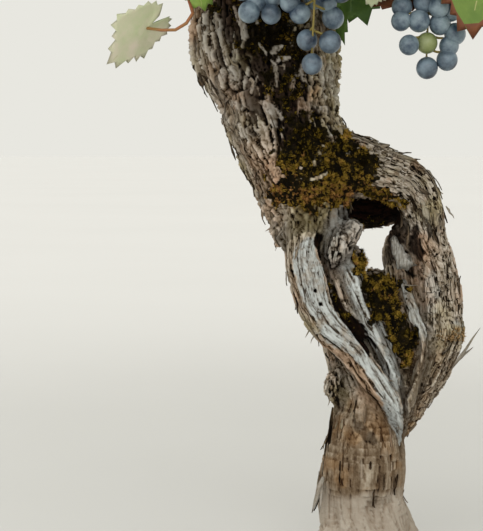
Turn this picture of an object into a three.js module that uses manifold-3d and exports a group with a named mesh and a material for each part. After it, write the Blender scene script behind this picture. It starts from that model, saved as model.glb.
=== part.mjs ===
// An old bush-trained grapevine, in millimetres, +Z up, standing on the ground at the origin.
// The trunk parts into two stems that close round a window and meet again in a heavy leaning head.
// Seven arms leave the head, and each carries one mass of shoots, leaves and grape bunches.
import * as THREE from "three";
import Module from "manifold-3d";

const wasm = await Module();
wasm.setup();

// Heights and gaps that the trunk is cut by
const GROUND = 0;
const FORK_HEIGHT = 92;
const BEND_HEIGHT = 200;
const CLEARANCE = 0.3;
const SINK = 6;

// Each station of a woody route is x, y, z and the radius there.
const FOOT_ROUTE = [
  [3, 2, -20, 48],
  [2, 1, 4, 39],
  [1, 0, 22, 32.5],
  [-3, 0, 43, 28.4],
  [-2, 0, 64, 29],
  [-2, 0, 86, 26.5],
  [-0.5, 0, 110, 23],
];
const CORE_ROUTE = [
  [-2, 1, 80, 25.5],
  [-2, 1, 104, 22],
  [-7.5, 3, 126, 17],
  [-16.5, 4, 149, 14.2],
  [-24.5, 6, 172, 14.4],
  [-31, 8, 200, 14],
  [-34, 8, 228, 15],
  [-36, 8, 252, 16],
];
const OUTER_STRAND_ROUTE = [
  [-41, -4, 252, 12.5],
  [-41, -8, 234, 11.5],
  [-44, -12, 212, 12.2],
  [-41, -13, 194, 13.6],
  [-36, -14, 178, 12.8],
  [-26, -15, 163, 12],
  [-11, -15, 149, 10.4],
  [-4, -14, 137, 9.6],
  [4, -13, 124, 9.2],
  [12, -10, 111, 8.4],
  [16, -6, 97, 7],
  [17, -3, 84, 5.5],
];
const INNER_STRAND_ROUTE = [
  [-22, -2, 250, 8.5],
  [-21, -6, 233, 9.5],
  [-19, -8, 216, 8.2],
  [-14, -10, 201, 7.6],
  [-9, -11, 188, 7.6],
  [-4, -11, 175, 7.2],
  [3, -12, 160, 6.2],
  [9, -12, 149, 5.6],
  [14, -11, 138, 5.2],
  [17, -8, 125, 5],
  [20, -4, 108, 4.6],
];
const BROKEN_STUB_ROUTE = [
  [-23, -11, 205, 5.5],
  [-22, -13, 212, 8.6],
  [-20, -13, 220, 9.8],
  [-14, -10, 229, 9],
];
const BACKING_ROUTE = [
  [-22, 10, 188, 9.5],
  [-11, 9, 170, 11.5],
  [-1, 7, 152, 11.5],
  [8, 6, 132, 10.5],
];
const LOOP_ROUTE = [
  [-30, 2, 272, 20.5],
  [-12, 0, 271, 21.5],
  [8, -3, 266, 18.3],
  [26, -3, 259, 17.3],
  [34, -2, 247, 16],
  [38, -1, 234, 15.3],
  [41, 0, 220, 14.9],
  [46, 1, 204, 14.8],
  [49, 3, 186, 16],
  [50.3, 4, 168, 17.2],
  [50.5, 4, 156, 18.4],
  [41, 6, 135, 19.2],
  [33, 7, 113, 13.4],
  [22, 6, 96, 11],
  [14, 4, 84, 8],
];
const CHEEK_ROUTE = [
  [31, 2, 244, 8.5],
  [26, 3, 227, 10],
  [22, 4, 212, 12.6],
  [25, 4, 195, 12.6],
  [28, 4, 180, 12],
  [30, 4, 165, 11.5],
  [30, 5, 140, 10.5],
];
const HANGING_FLAP_ROUTE = [
  [20, -5, 237, 5],
  [15, -9, 224, 4.6],
  [18, -12, 214, 6],
  [24, -13, 206, 6.6],
];
const HEARTWOOD_ROUTE = [
  [3, 10, 196, 5.5],
  [8, 9, 187, 12.6],
  [15, 7, 174, 16.8],
  [20, 7, 155, 17.8],
  [22, 7, 134, 14.6],
  [21, 6, 112, 10.4],
];
const HEAD_ROUTE = [
  [-45, 2, 227, 15],
  [-43, 3, 243, 29],
  [-46, 6, 267, 38.5],
  [-55, 10, 294, 39.5],
  [-59.5, 14, 311, 41.5],
  [-61, 18, 328, 43],
  [-67, 22, 350, 50.5],
  [-70.5, 28, 378, 51],
  [-72, 31, 406, 45],
  [-72, 32, 428, 31],
  [-72, 32, 438, 16],
];
const BACK_LIP_ROUTE = [
  [-40, 24, 262, 20],
  [-12, 28, 247, 20],
  [11, 27, 245, 18],
  [27, 16, 249, 13.6],
];
const HEAD_DEPTH = 0.86;

// The arms, by the way they leave the head, seen from above, and how steeply they rise
const HEAD_TOP = [-72, 31, 408];
const ARM = { reach: 168, root: 16, rootRadius: 18, tipRadius: 10.5, kink: 9 };
const RING_ARMS = 6;
const RING_TURN = 60;
const FIRST_TURN = -82;
const RING_NAMES = ["front", "right", "back_right", "back", "back_left", "left"];
const RING_RISE = [32, 33, 37, 34, 38, 31];
const LEADER_RISE = 84;
const LEADER_REACH = 150;

// The shoots of one mass: how many, their joints, and the arc that each one follows
const STEM = { length: 42, radius: 9, end: 7 };
const SHOOTS = 3;
const FAN = 25;
const RING_START = [46, 68, 34];
const LEADER_START = [62, 80, 70];
const LIFT = 22;
const FALL = 74;
const WANDER = 13;
const ZIGZAG = 8;
const JOINTS = 8;
const JOINT_LENGTH = 78;
const SHOOT_RADIUS = 5.2;
const SHOOT_TIP_RADIUS = 1.8;
const SIDE_SHOOT = { every: 3, first: 1, joints: 1, length: 66, radius: 3, tip: 2 };

// One leaf: its stalk, and its blade as shares of the blade's width
const LEAF = { width: 132, spread: 34, stalk: 74, thick: 1.5 };
const STALK = { width: 2, height: 1.5, neck: 3.2 };
const LEAF_TRIES = 5;
const LIMB_MARGIN = 3;

// The space of each mass: a wedge between two upright planes, outside a cone round the leader's mass
const CONE = { radius: 66, slope: 0.42, from: 540 };
const SPACE_MARGIN = 1.5;
const CONE_MARGIN = 8;

// Bunches: those that hang low beside the head are placed by hand, and each shoot may bear one more
const BUNCH = { length: 118, radius: 33, stalk: 38, node: 1 };
const LOW_BUNCHES = [
  { mass: "front", top: [-40, -82, 436], length: 101, radius: 29 },
  { mass: "front", top: [-77, -52, 424], length: 62, radius: 22 },
  { mass: "right", top: [34, -50, 440], length: 106, radius: 29 },
];
const BARE_SHOOTS = [0, 3, 8, 13, 16, 18, 20];

const BARK = new THREE.MeshStandardMaterial({ color: 0x7b6757, roughness: 0.95 });
const BARE_WOOD = new THREE.MeshStandardMaterial({ color: 0xb9b2a6, roughness: 0.8 });
const MOSS = new THREE.MeshStandardMaterial({ color: 0x5c4a1e, roughness: 1 });
const FOLIAGE = new THREE.MeshStandardMaterial({ color: 0x5f7f3c, roughness: 0.7 });

// A number from 0 to 1 that depends only on its seed and its place in the row.
function chance(seed, i) {
  const wave = Math.sin(seed * 12.9898 + i * 78.233) * 43758.5453;
  return wave - Math.floor(wave);
}

const radians = (degrees) => (degrees * Math.PI) / 180;

// A unit vector from a turn about the upright axis and a rise above the horizon, in degrees.
function heading(turn, rise) {
  const flat = Math.cos(radians(rise));
  return new THREE.Vector3(
    flat * Math.cos(radians(turn)),
    flat * Math.sin(radians(turn)),
    Math.sin(radians(rise)),
  );
}

function solidFrom(points, faces) {
  const vertProperties = new Float32Array(points.flatMap((p) => [p.x, p.y, p.z]));
  const triVerts = new Uint32Array(faces.flat());
  return new wasm.Manifold(new wasm.Mesh({ numProp: 3, vertProperties, triVerts }));
}

// A closed tapering limb through stations, with lobes that wander round it, and grow added to its radius.
function limb(stations, { sides, steps, seed = 1, lump = 0, depth = 1, grow = 0 }) {
  const centres = stations.map(([x, y, z]) => new THREE.Vector3(x, y, z));
  const path = new THREE.CatmullRomCurve3(centres, false, "centripetal");
  const spans = stations.length - 1;
  const points = [];
  const side = new THREE.Vector3();
  for (let i = 0; i <= steps; i++) {
    const t = i / steps;
    const at = path.getPoint(t);
    const ahead = path.getTangent(t);
    if (i === 0) side.set(1, 0.2, 0.1);
    side.addScaledVector(ahead, -side.dot(ahead)).normalize();
    const other = new THREE.Vector3().crossVectors(ahead, side);
    const span = Math.min(Math.floor(t * spans), spans - 1);
    const share = t * spans - span;
    const radius = stations[span][3] * (1 - share) + stations[span + 1][3] * share;
    for (let k = 0; k < sides; k++) {
      const angle = (2 * Math.PI * k) / sides;
      const twist = angle + t * spans * 0.35;
      const lobes =
        Math.sin(2 * twist + seed) + 0.7 * Math.sin(3 * twist - 2.1 * seed + 5 * t);
      const r = radius * (1 + lump * lobes) + grow;
      const offset = new THREE.Vector3()
        .addScaledVector(side, r * Math.cos(angle))
        .addScaledVector(other, r * Math.sin(angle));
      offset.y *= depth;
      points.push(at.clone().add(offset));
    }
  }
  const faces = [];
  for (let i = 0; i < steps; i++) {
    for (let k = 0; k < sides; k++) {
      const a = i * sides + k;
      const b = i * sides + ((k + 1) % sides);
      faces.push([a, b, b + sides], [a, b + sides, a + sides]);
    }
  }
  const last = steps * sides;
  for (let k = 1; k < sides - 1; k++) {
    faces.push([0, k + 1, k], [last, last + k, last + k + 1]);
  }
  return solidFrom(points, faces);
}

// The largest body of a solid, so that a scrap left by a cut is dropped.
function mainBody(solid) {
  return solid.decompose().reduce((a, b) => (b.volume() > a.volume() ? b : a));
}

const above = (solid, z) => solid.trimByPlane([0, 0, 1], z);
const below = (solid, z) => solid.trimByPlane([0, 0, -1], -z);
const union = (solids) => wasm.Manifold.union(solids);

const group = new THREE.Group();

function addNode(name, solid, material) {
  const body = mainBody(solid);
  const { numProp, numVert, vertProperties, triVerts } = body.getMesh();
  const position = new Float32Array(numVert * 3);
  for (let i = 0; i < numVert; i++) {
    position.set(vertProperties.subarray(i * numProp, i * numProp + 3), i * 3);
  }
  const geometry = new THREE.BufferGeometry();
  geometry.setAttribute("position", new THREE.BufferAttribute(position, 3));
  geometry.setIndex(new THREE.BufferAttribute(triVerts, 1));
  geometry.computeVertexNormals();
  const mesh = new THREE.Mesh(geometry, material);
  mesh.name = name;
  group.add(mesh);
}

// The trunk: a flared foot, two strands twisted round a core on the left, a bent limb on the right and
// mossy heartwood between them. Each is cut clear of its neighbours.
function foot() {
  const whole = limb(FOOT_ROUTE, { sides: 16, steps: 8, seed: 2, lump: 0.035 });
  return below(above(whole, GROUND), FORK_HEIGHT);
}

function leftStem(grow) {
  return union([
    limb(CORE_ROUTE, { sides: 11, steps: 8, seed: 3, lump: 0.05, grow }),
    limb(BACKING_ROUTE, { sides: 7, steps: 3, seed: 11, lump: 0.04, grow }),
    limb(OUTER_STRAND_ROUTE, { sides: 8, steps: 11, seed: 4, lump: 0.04, grow }),
    limb(INNER_STRAND_ROUTE, { sides: 7, steps: 10, seed: 5, lump: 0.05, grow }),
    limb(BROKEN_STUB_ROUTE, { sides: 7, steps: 3, seed: 12, lump: 0.08, grow }),
  ]);
}

function head(grow) {
  return union([
    limb(HEAD_ROUTE, { sides: 16, steps: 14, seed: 6, lump: 0.035, depth: HEAD_DEPTH, grow }),
    limb(BACK_LIP_ROUTE, { sides: 8, steps: 4, seed: 7, lump: 0.05, grow }),
  ]);
}

function loop(grow) {
  return union([
    limb(LOOP_ROUTE, { sides: 12, steps: 16, seed: 8, lump: 0.03, grow }),
    limb(CHEEK_ROUTE, { sides: 7, steps: 6, seed: 13, lump: 0.04, grow }),
    limb(HANGING_FLAP_ROUTE, { sides: 6, steps: 4, seed: 9, lump: 0.06, grow }),
  ]);
}

const overFork = FORK_HEIGHT + CLEARANCE;
const headWithGap = head(CLEARANCE);
const stemWithGap = leftStem(CLEARANCE);
const loopAlone = above(loop(0), overFork).subtract(stemWithGap).subtract(headWithGap);
const heartwood = limb(HEARTWOOD_ROUTE, { sides: 10, steps: 7, seed: 10, lump: 0.06 });

addNode("trunk_foot", foot(), BARK);
addNode("left_stem", above(leftStem(0), overFork).subtract(headWithGap), BARE_WOOD);
addNode("right_limb_lower", below(loopAlone, BEND_HEIGHT), BARK);
addNode("right_limb_upper", above(loopAlone, BEND_HEIGHT + CLEARANCE), BARK);
addNode(
  "mossy_heartwood",
  heartwood.subtract(stemWithGap).subtract(loop(CLEARANCE)).subtract(headWithGap),
  MOSS,
);
addNode("trunk_head", head(0), BARK);

// The arms, each one tapering limb with a kink half way along.
function armRoute(turn, rise, reach, i) {
  const way = heading(turn, rise);
  const across = heading(turn + 90, 0);
  const top = new THREE.Vector3(...HEAD_TOP);
  const at = (share, lift) =>
    top
      .clone()
      .addScaledVector(way, ARM.root + reach * share)
      .addScaledVector(across, ARM.kink * (chance(31, i) - 0.5) * Math.sin(Math.PI * share))
      .add(new THREE.Vector3(0, 0, lift));
  const radiusAt = (share) => ARM.rootRadius + (ARM.tipRadius - ARM.rootRadius) * share;
  const station = (share, lift, swell) => [
    ...at(share, lift).toArray(),
    radiusAt(share) * swell,
  ];
  return [
    station(0, -SINK, 1.12),
    station(0.3, -ARM.kink, 1),
    station(0.55, -0.6 * ARM.kink, 0.92),
    station(0.8, 0, 1.08),
    station(1, 0, 1),
  ];
}

const masses = [];
for (let i = 0; i <= RING_ARMS; i++) {
  const leader = i === RING_ARMS;
  const name = leader ? "leader" : RING_NAMES[i];
  const turn = leader ? 90 : FIRST_TURN + RING_TURN * i;
  const rise = leader ? LEADER_RISE : RING_RISE[i];
  const route = armRoute(turn, rise, leader ? LEADER_REACH : ARM.reach, i);
  masses.push({ name, leader, turn, index: i, route });
}

const armOf = (mass, grow) =>
  limb(mass.route, { sides: 8, steps: 6, seed: 20 + mass.index, lump: 0.05, grow });
let placed = headWithGap;
for (const mass of masses) {
  addNode("arm_" + mass.name, armOf(mass, 0).subtract(placed), BARK);
  placed = placed.add(armOf(mass, CLEARANCE));
}

// True where a point keeps to its mass's own space.
function inSpace(mass, p) {
  const x = p.x - HEAD_TOP[0];
  const y = p.y - HEAD_TOP[1];
  const coneRadius = CONE.radius + CONE.slope * (p.z - CONE.from);
  if (mass.leader) return Math.hypot(x, y) < coneRadius - SPACE_MARGIN;
  if (Math.hypot(x, y) < coneRadius + CONE_MARGIN) return false;
  return [-1, 1].every((hand) => {
    const edge = heading(mass.turn + (hand * RING_TURN) / 2, 0);
    return hand * (edge.y * x - edge.x * y) > SPACE_MARGIN;
  });
}

// The woody routes as plain points and radii, for keeping leaves and bunches off them.
const wood = [HEAD_ROUTE, LOOP_ROUTE, BACK_LIP_ROUTE, ...masses.map((m) => m.route)].map(
  (stations) => {
    const line = new THREE.CatmullRomCurve3(
      stations.map(([x, y, z]) => new THREE.Vector3(x, y, z)),
    );
    const radius = Math.max(...stations.map((s) => s[3]));
    return { points: line.getPoints(24), radius };
  },
);

function touchesWood(p, margin) {
  return wood.some(({ points, radius }) =>
    points.some((q) => q.distanceTo(p) < Math.min(radius, 50) + margin),
  );
}

const clearOfWood = (points) => points.every((p) => !touchesWood(p, LIMB_MARGIN));

// A shoot's joints: it climbs, then arches over under its own leaves.
function shootPoints(mass, k, start) {
  const firstRise = (mass.leader ? LEADER_START : RING_START)[(k + mass.index) % SHOOTS];
  const fan = mass.leader ? (360 / SHOOTS) * k : FAN * (k - 1);
  const points = [start.clone()];
  for (let j = 0; j < JOINTS; j++) {
    const t = j / (JOINTS - 1);
    const seed = 100 + mass.index * 10 + k;
    const turn =
      mass.turn + fan + ZIGZAG * (j % 2 ? 1 : -1) + WANDER * (chance(seed, j) - 0.5) * 2;
    const rise = firstRise + LIFT * Math.sin(Math.PI * t) - FALL * t ** 3;
    points.push(points[j].clone().addScaledVector(heading(turn, rise), JOINT_LENGTH));
  }
  return points;
}

function twig(points, radius, tip) {
  const last = points.length - 1;
  const stations = points.map((p, i) => [
    ...p.toArray(),
    radius + ((tip - radius) * i) / last,
  ]);
  return limb(stations, { sides: 3, steps: last });
}

// A leaf on its stalk: five lobes round the stalk's end, thickest in the middle. root is on the twig's
// axis, way is the stalk's direction and face is the blade's upper side.
function leaf(root, way, face, width, stalk) {
  const across = new THREE.Vector3().crossVectors(way, face).normalize();
  const up = new THREE.Vector3().crossVectors(across, way).normalize();
  const joint = root.clone().addScaledVector(way, stalk);
  const along = way.clone().add(new THREE.Vector3(0, 0, -0.7));
  along.addScaledVector(face, -along.dot(face)).normalize();
  const wide = new THREE.Vector3().crossVectors(along, face).normalize();
  const spot = (u, v, n) =>
    joint
      .clone()
      .addScaledVector(wide, u * width)
      .addScaledVector(along, v * width)
      .addScaledVector(face, n);
  const neck = STALK.neck / width;
  const outline = [
    spot(neck, 0, 0),
    spot(0.36, -0.2, -4),
    spot(0.5, 0.26, -3),
    spot(0, 0.76, -6),
    spot(-0.5, 0.26, -3),
    spot(-0.36, -0.2, -4),
    spot(-neck, 0, 0),
  ];
  const centreTop = spot(0, 0.12, LEAF.thick);
  const centreUnder = spot(0, 0.12, -LEAF.thick);
  const end = root.clone();
  const rootTop = end.clone().addScaledVector(up, STALK.height);
  const rootRight = end.clone().addScaledVector(across, STALK.width);
  const rootLeft = end.clone().addScaledVector(across, -STALK.width);
  const points = [...outline, centreTop, centreUnder, rootTop, rootRight, rootLeft];
  const [top, under, ridge, right, left] = [7, 8, 9, 10, 11];
  const faces = [];
  for (let i = 0; i < 6; i++) faces.push([top, i, i + 1], [under, i + 1, i]);
  faces.push([top, 6, ridge], [top, ridge, 0], [6, left, ridge], [0, ridge, right]);
  faces.push([under, left, 6], [under, right, left], [under, 0, right], [left, right, ridge]);
  const made = solidFrom(points, faces);
  if (made.volume() > 0) return { solid: made, points };
  return { solid: solidFrom(points, faces.map(([a, b, c]) => [a, c, b])), points };
}

// A leaf that faces out from the crown, tried at a few angles until it keeps to its space and clear of
// the others, and then added to them.
function tryLeaf(mass, root, ahead, hand, size, seed, others) {
  const axis = new THREE.Vector3(HEAD_TOP[0], HEAD_TOP[1], root.z - 260);
  const outward = root.clone().sub(axis).normalize();
  for (let n = 0; n < LEAF_TRIES; n++) {
    const roll = (i) => chance(seed, 10 * n + i) - 0.5;
    const side = new THREE.Vector3(ahead.y, -ahead.x, 0).normalize();
    const way = side
      .multiplyScalar(hand * (n % 2 ? 0.35 : 0.8))
      .addScaledVector(outward, 0.5 + 0.5 * roll(1))
      .add(new THREE.Vector3(0.5 * roll(2), 0.5 * roll(3), 0.2 + 0.5 * roll(4)))
      .normalize();
    const face = outward
      .clone()
      .add(new THREE.Vector3(0.9 * roll(5), 0.9 * roll(6), 0.35 + 0.7 * roll(7)));
    face.addScaledVector(way, -0.55 * face.dot(way)).normalize();
    const width = (LEAF.width + LEAF.spread * 2 * roll(8)) * size;
    const made = leaf(root, way, face, width, LEAF.stalk * size * (1 + 0.5 * roll(9)));
    const blade = made.points.slice(0, 9);
    if (!blade.every((p) => inSpace(mass, p)) || !clearOfWood(blade)) continue;
    if (others.some((other) => !other.intersect(made.solid).isEmpty())) continue;
    others.push(made.solid);
    return;
  }
}

// A bunch of grapes as one lumpy hanging cone under its stalk.
function bunch(from, top, length, radius, seed) {
  const hang = (drop, share) => [top.x, top.y, top.z - length * drop, radius * share];
  const body = [
    hang(0, 0.3),
    hang(0.1, 0.8),
    hang(0.32, 1),
    hang(0.62, 0.74),
    hang(0.9, 0.38),
    hang(1, 0.14),
  ];
  const bend = from.clone().lerp(top, 0.5);
  bend.z = Math.max(from.z, top.z) + 0.1 * from.distanceTo(top);
  const inside = top.clone();
  inside.z -= length * 0.2;
  return union([
    limb(body, { sides: 6, steps: 5, seed, lump: 0.08 }),
    twig([from, bend, top, inside], 2.6, 2.4),
  ]);
}

// Everything that grows from one arm's tip, fused: a stem, its shoots with their side shoots and
// leaves, and the bunches that hang from them.
function growMass(mass) {
  const tip = new THREE.Vector3(...mass.route.at(-1).slice(0, 3));
  const path = new THREE.CatmullRomCurve3(
    mass.route.map(([x, y, z]) => new THREE.Vector3(x, y, z)),
    false,
    "centripetal",
  );
  const ahead = path.getTangent(1);
  const foot = tip.clone().addScaledVector(ahead, CLEARANCE);
  const end = foot.clone().addScaledVector(ahead, STEM.length);
  const fork = foot.clone().addScaledVector(ahead, STEM.length - SINK);
  const stem = limb(
    [
      [...foot.toArray(), STEM.radius],
      [...end.toArray(), STEM.end],
    ],
    { sides: 7, steps: 1 },
  );
  const twigs = [stem];
  const hung = [];
  const buds = [];
  for (let k = 0; k < SHOOTS; k++) {
    const joints = shootPoints(mass, k, fork);
    const inside = (p) => inSpace(mass, p) || p.distanceTo(fork) < JOINT_LENGTH;
    while (!joints.every(inside)) joints.pop();
    twigs.push(twig(joints, SHOOT_RADIUS, SHOOT_TIP_RADIUS));
    const shoot = mass.index * SHOOTS + k;
    for (let j = 1; j < joints.length; j++) {
      const hand = j % 2 ? 1 : -1;
      const ahead = joints[j].clone().sub(joints[j - 1]).normalize();
      const size = 1 - (0.4 * j) / JOINTS;
      buds.push({ at: joints[j], ahead, hand, size, seed: 1000 + shoot * 40 + j });
      if (j % SIDE_SHOOT.every === SIDE_SHOOT.first && j < JOINTS - 1) {
        sideShoot(mass, joints[j], ahead, -hand, 1020 + shoot * 40 + j, twigs, buds);
      }
    }
    if (!BARE_SHOOTS.includes(shoot) && joints.length > BUNCH.node) {
      hangBunch(mass, joints[BUNCH.node], shoot, hung);
    }
  }
  for (const low of LOW_BUNCHES.filter((b) => b.mass === mass.name)) {
    hung.push(bunch(fork, new THREE.Vector3(...low.top), low.length, low.radius, low.length));
  }
  const others = [...hung];
  for (const { at, ahead: way, hand, size, seed } of buds) {
    tryLeaf(mass, at, way, hand, size, seed, others);
  }
  return union([...twigs, ...others]);
}

// A bunch under one joint of a shoot, if there is room for it.
function hangBunch(mass, from, shoot, hung) {
  const size = 0.8 + 0.4 * chance(77, shoot);
  const out = heading(mass.turn + 60 * (chance(78, shoot) - 0.5), 0);
  const top = from.clone().addScaledVector(out, 14 + 22 * chance(79, shoot));
  top.z -= BUNCH.stalk;
  const middle = top.clone().setZ(top.z - 0.4 * BUNCH.length * size);
  if (!inSpace(mass, middle) || touchesWood(middle, BUNCH.radius)) return;
  hung.push(bunch(from, top, BUNCH.length * size, BUNCH.radius * size, shoot));
}

// A short side shoot with a bud at each joint.
function sideShoot(mass, from, ahead, hand, seed, twigs, buds) {
  const side = new THREE.Vector3(ahead.y, -ahead.x, 0).normalize().multiplyScalar(hand);
  const way = side.addScaledVector(ahead, 0.6).add(new THREE.Vector3(0, 0, 0.15)).normalize();
  const points = [from.clone()];
  for (let i = 1; i <= SIDE_SHOOT.joints; i++) {
    points.push(points[i - 1].clone().addScaledVector(way, SIDE_SHOOT.length));
  }
  if (!points.slice(1).every((p) => inSpace(mass, p) && !touchesWood(p, LIMB_MARGIN))) return;
  twigs.push(twig(points, SIDE_SHOOT.radius, SIDE_SHOOT.tip));
  points.slice(1).forEach((at, i) => {
    buds.push({ at, ahead: way, hand: i % 2 ? hand : -hand, size: 0.7, seed: seed + i });
  });
}

for (const mass of masses) {
  const grown = growMass(mass).subtract(placed);
  addNode("foliage_" + mass.name, grown, FOLIAGE);
}

export default group;
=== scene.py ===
"""An old bush-trained grapevine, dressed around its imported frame.

Lengths inside the functions are millimetres in the frame's axes, and put_mesh turns them into metres.
"""
import math
from functools import lru_cache

import bpy
import numpy as np
from mathutils.kdtree import KDTree
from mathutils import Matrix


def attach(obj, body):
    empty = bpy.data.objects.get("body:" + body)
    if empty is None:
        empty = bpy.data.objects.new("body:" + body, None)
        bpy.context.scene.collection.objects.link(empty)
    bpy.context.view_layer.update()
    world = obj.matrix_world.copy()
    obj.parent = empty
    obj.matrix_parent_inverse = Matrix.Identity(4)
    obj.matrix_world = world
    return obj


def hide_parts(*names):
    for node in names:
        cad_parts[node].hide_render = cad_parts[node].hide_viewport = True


bl_info = {
    "name": "Old Bush Grapevine",
    "version": (1, 0, 0),
    "blender": (4, 5, 0),
    "location": "View3D > Sidebar > Vine",
    "description": "Dresses an old grapevine with bark, moss, shoots, leaves and grapes",
    "category": "Object",
}

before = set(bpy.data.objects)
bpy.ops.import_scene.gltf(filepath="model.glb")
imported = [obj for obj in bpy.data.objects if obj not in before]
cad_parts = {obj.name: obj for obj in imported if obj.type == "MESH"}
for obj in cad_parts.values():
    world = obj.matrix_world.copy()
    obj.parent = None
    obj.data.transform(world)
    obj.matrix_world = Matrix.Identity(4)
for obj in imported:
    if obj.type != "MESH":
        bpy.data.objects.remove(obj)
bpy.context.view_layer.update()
METRES = 0.001

# Routes of the trunk's strands: x, y, z and radius at each station
FOOT = ((3, 2, -20, 45), (2, 1, 4, 37), (1, 0, 22, 30.5), (-3, 0, 43, 26.8), (-2, 0, 64, 27.6),
        (-2, 0, 86, 25.2), (-0.5, 0, 106, 21.5))
CORE = ((-2, 1, 80, 24), (-2, 1, 104, 20.5), (-7.5, 3, 126, 15.5), (-16.5, 4, 149, 13),
        (-24.5, 6, 172, 13.4), (-31, 8, 200, 13), (-34, 8, 228, 14), (-36, 8, 252, 16))
RIBBON = ((-41, -4, 252, 12), (-41, -8, 234, 11), (-44, -12, 212, 11.6), (-41, -13, 194, 13),
          (-36, -14, 178, 12.2), (-26, -15, 163, 11.4), (-11, -15, 149, 9.8), (-4, -14, 137, 9),
          (4, -15, 124, 9), (12, -13, 111, 8.4), (17, -9, 97, 6.8), (18, -5, 84, 5))
INNER = ((-23, 0, 246, 6), (-21, -6, 233, 9), (-19, -8, 216, 7.5), (-14, -10, 201, 7), (-9, -11, 188, 7),
         (-4, -11, 175, 6.6), (3, -12, 160, 5.6), (9, -12, 149, 5), (14, -11, 138, 4.6), (17, -8, 125, 4.4),
         (20, -4, 108, 4))
STUB = ((-23, -11, 205, 5), (-22, -13, 212, 8), (-20, -13, 220, 9.2), (-14, -10, 229, 8.5))
KNOT = ((-12, -8, 216, 3.5), (-9, -8, 208, 6), (-9, -7, 198, 4.5))
THIRD = ((1, -8, 191, 1.8), (4, -10, 181, 2.8), (9, -11, 166, 2.6), (13, -11, 152, 2.6), (17, -8, 136, 2.4))
CHEEK = ((36, 4, 240, 7), (27, 3, 228, 10), (22, 4, 212, 12), (25, 4, 195, 12), (28, 4, 180, 11.5),
         (30, 4, 165, 11), (30, 5, 140, 10))
BACKING = ((-22, 10, 188, 9), (-11, 9, 170, 11), (-1, 7, 152, 11), (8, 6, 132, 10))
FOURTH = ((23, -8, 193, 2.2), (27, -10, 180, 3), (31, -12, 169, 3.2), (36, -13, 159, 3.2), (37, -13, 146, 3),
          (34, -12, 133, 2.8), (30, -9, 118, 2.6), (27, -5, 103, 2.4))
LOOP = ((-30, 2, 272, 19.5), (-12, 0, 271, 20), (8, -3, 266, 17), (26, -3, 259, 15.7),
        (33.4, -2, 247, 14.6), (37.6, -1, 234, 13.8), (40.5, 0, 220, 13.3), (45.5, 1, 204, 13.5),
        (48.2, 3, 186, 14.8), (49.6, 4, 168, 16), (50.2, 4, 156, 17), (40.5, 6, 135, 18.2), (32.5, 7, 113, 12.6),
        (22, 6, 96, 10.5), (14, 4, 84, 8))
HEART = ((3, 10, 196, 5), (8, 9, 187, 12), (15, 7, 174, 16), (20, 7, 155, 17), (22, 7, 134, 14),
         (21, 6, 112, 10))
HEAD = ((-46, 2, 227, 17), (-42.5, 3, 243, 26.5), (-45, 6, 267, 35.5), (-55, 10, 294, 37),
        (-59.5, 14, 311, 38.5), (-61, 18, 328, 40), (-68.5, 22, 350, 47.5), (-70.5, 28, 378, 48.5),
        (-72, 31, 406, 44), (-72, 32, 428, 31), (-72, 32, 437, 16))
LIP = ((-40, 24, 262, 19), (-12, 28, 247, 19), (11, 27, 245, 17), (27, 16, 249, 13))
BROW = ((-24, -9, 206, 4.5), (-22, -9, 198, 5.5), (-17.5, -9, 181, 6.3), (-9, -10, 168, 4.5), (-3, -10, 158, 3))
FLAP = ((16, -4, 227, 2.4), (16, -7, 219, 3.4), (20, -9, 211, 4))
TUFT = ((-20, -8, 113, 5), (-23, -9, 122, 6.5), (-21, -7, 131, 4))
HEAD_DEPTH = 0.86

# Each strand: its route, how deep it is for its width, how softly it joins what stands, and its bark
STRANDS = (
    (FOOT, 1.0, 8, "lower"), (CORE, 1.0, 5, "fibrous"), (BACKING, 1.0, 4, "fibrous"),
    (RIBBON, 1.0, 2.5, "fibrous"), (INNER, 1.0, 2, "bare"), (BROW, 1.0, 1.5, "fibrous"),
    (TUFT, 1.0, 3, "rotten"), (LOOP, 1.0, 5, "crumbly"), (CHEEK, 1.0, 5, "fibrous"),
    (HEART, 1.0, 3, "rotten"), (THIRD, 1.0, 1.5, "bare"), (FOURTH, 1.0, 1.5, "fibrous"),
    (FLAP, 1.0, 1.5, "rotten"), (HEAD, HEAD_DEPTH, 9, "shaggy"), (LIP, 1.0, 9, "fibrous"),
    (STUB, 1.0, 2, "gnarled"), (KNOT, 1.0, 2, "rotten"),
)

# Cracks and grooves cut between the strands
CUTS = (
    ((-35, -21, 224, 1.8), (-32.5, -21, 214, 2.2), (-29, -20, 200, 2.2), (-25, -19, 187, 2),
     (-18, -19, 173, 3.2), (-9, -19, 161, 4), (-1, -20, 150, 3.6), (6, -20, 141, 1.3)),
    ((30, -15, 208, 2.2), (30.5, -14, 197, 2.6), (34, -15, 180, 2), (38, -16, 168, 1.2)),
    ((25, -14, 120, 1.1), (24, -12, 105, 1.5), (26, -8, 92, 1.6)),
    ((-24, -22, 226, 1.2), (-18, -23, 219, 1.6), (-20, -21, 209, 1.2)),
    ((-63, -26, 352, 3), (-57, -30, 338, 3.5), (-58, -31, 322, 2.5)),
    ((-36, -26, 347, 3), (-35, -29, 330, 3.4), (-41, -31, 316, 2.2)),
)

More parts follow.
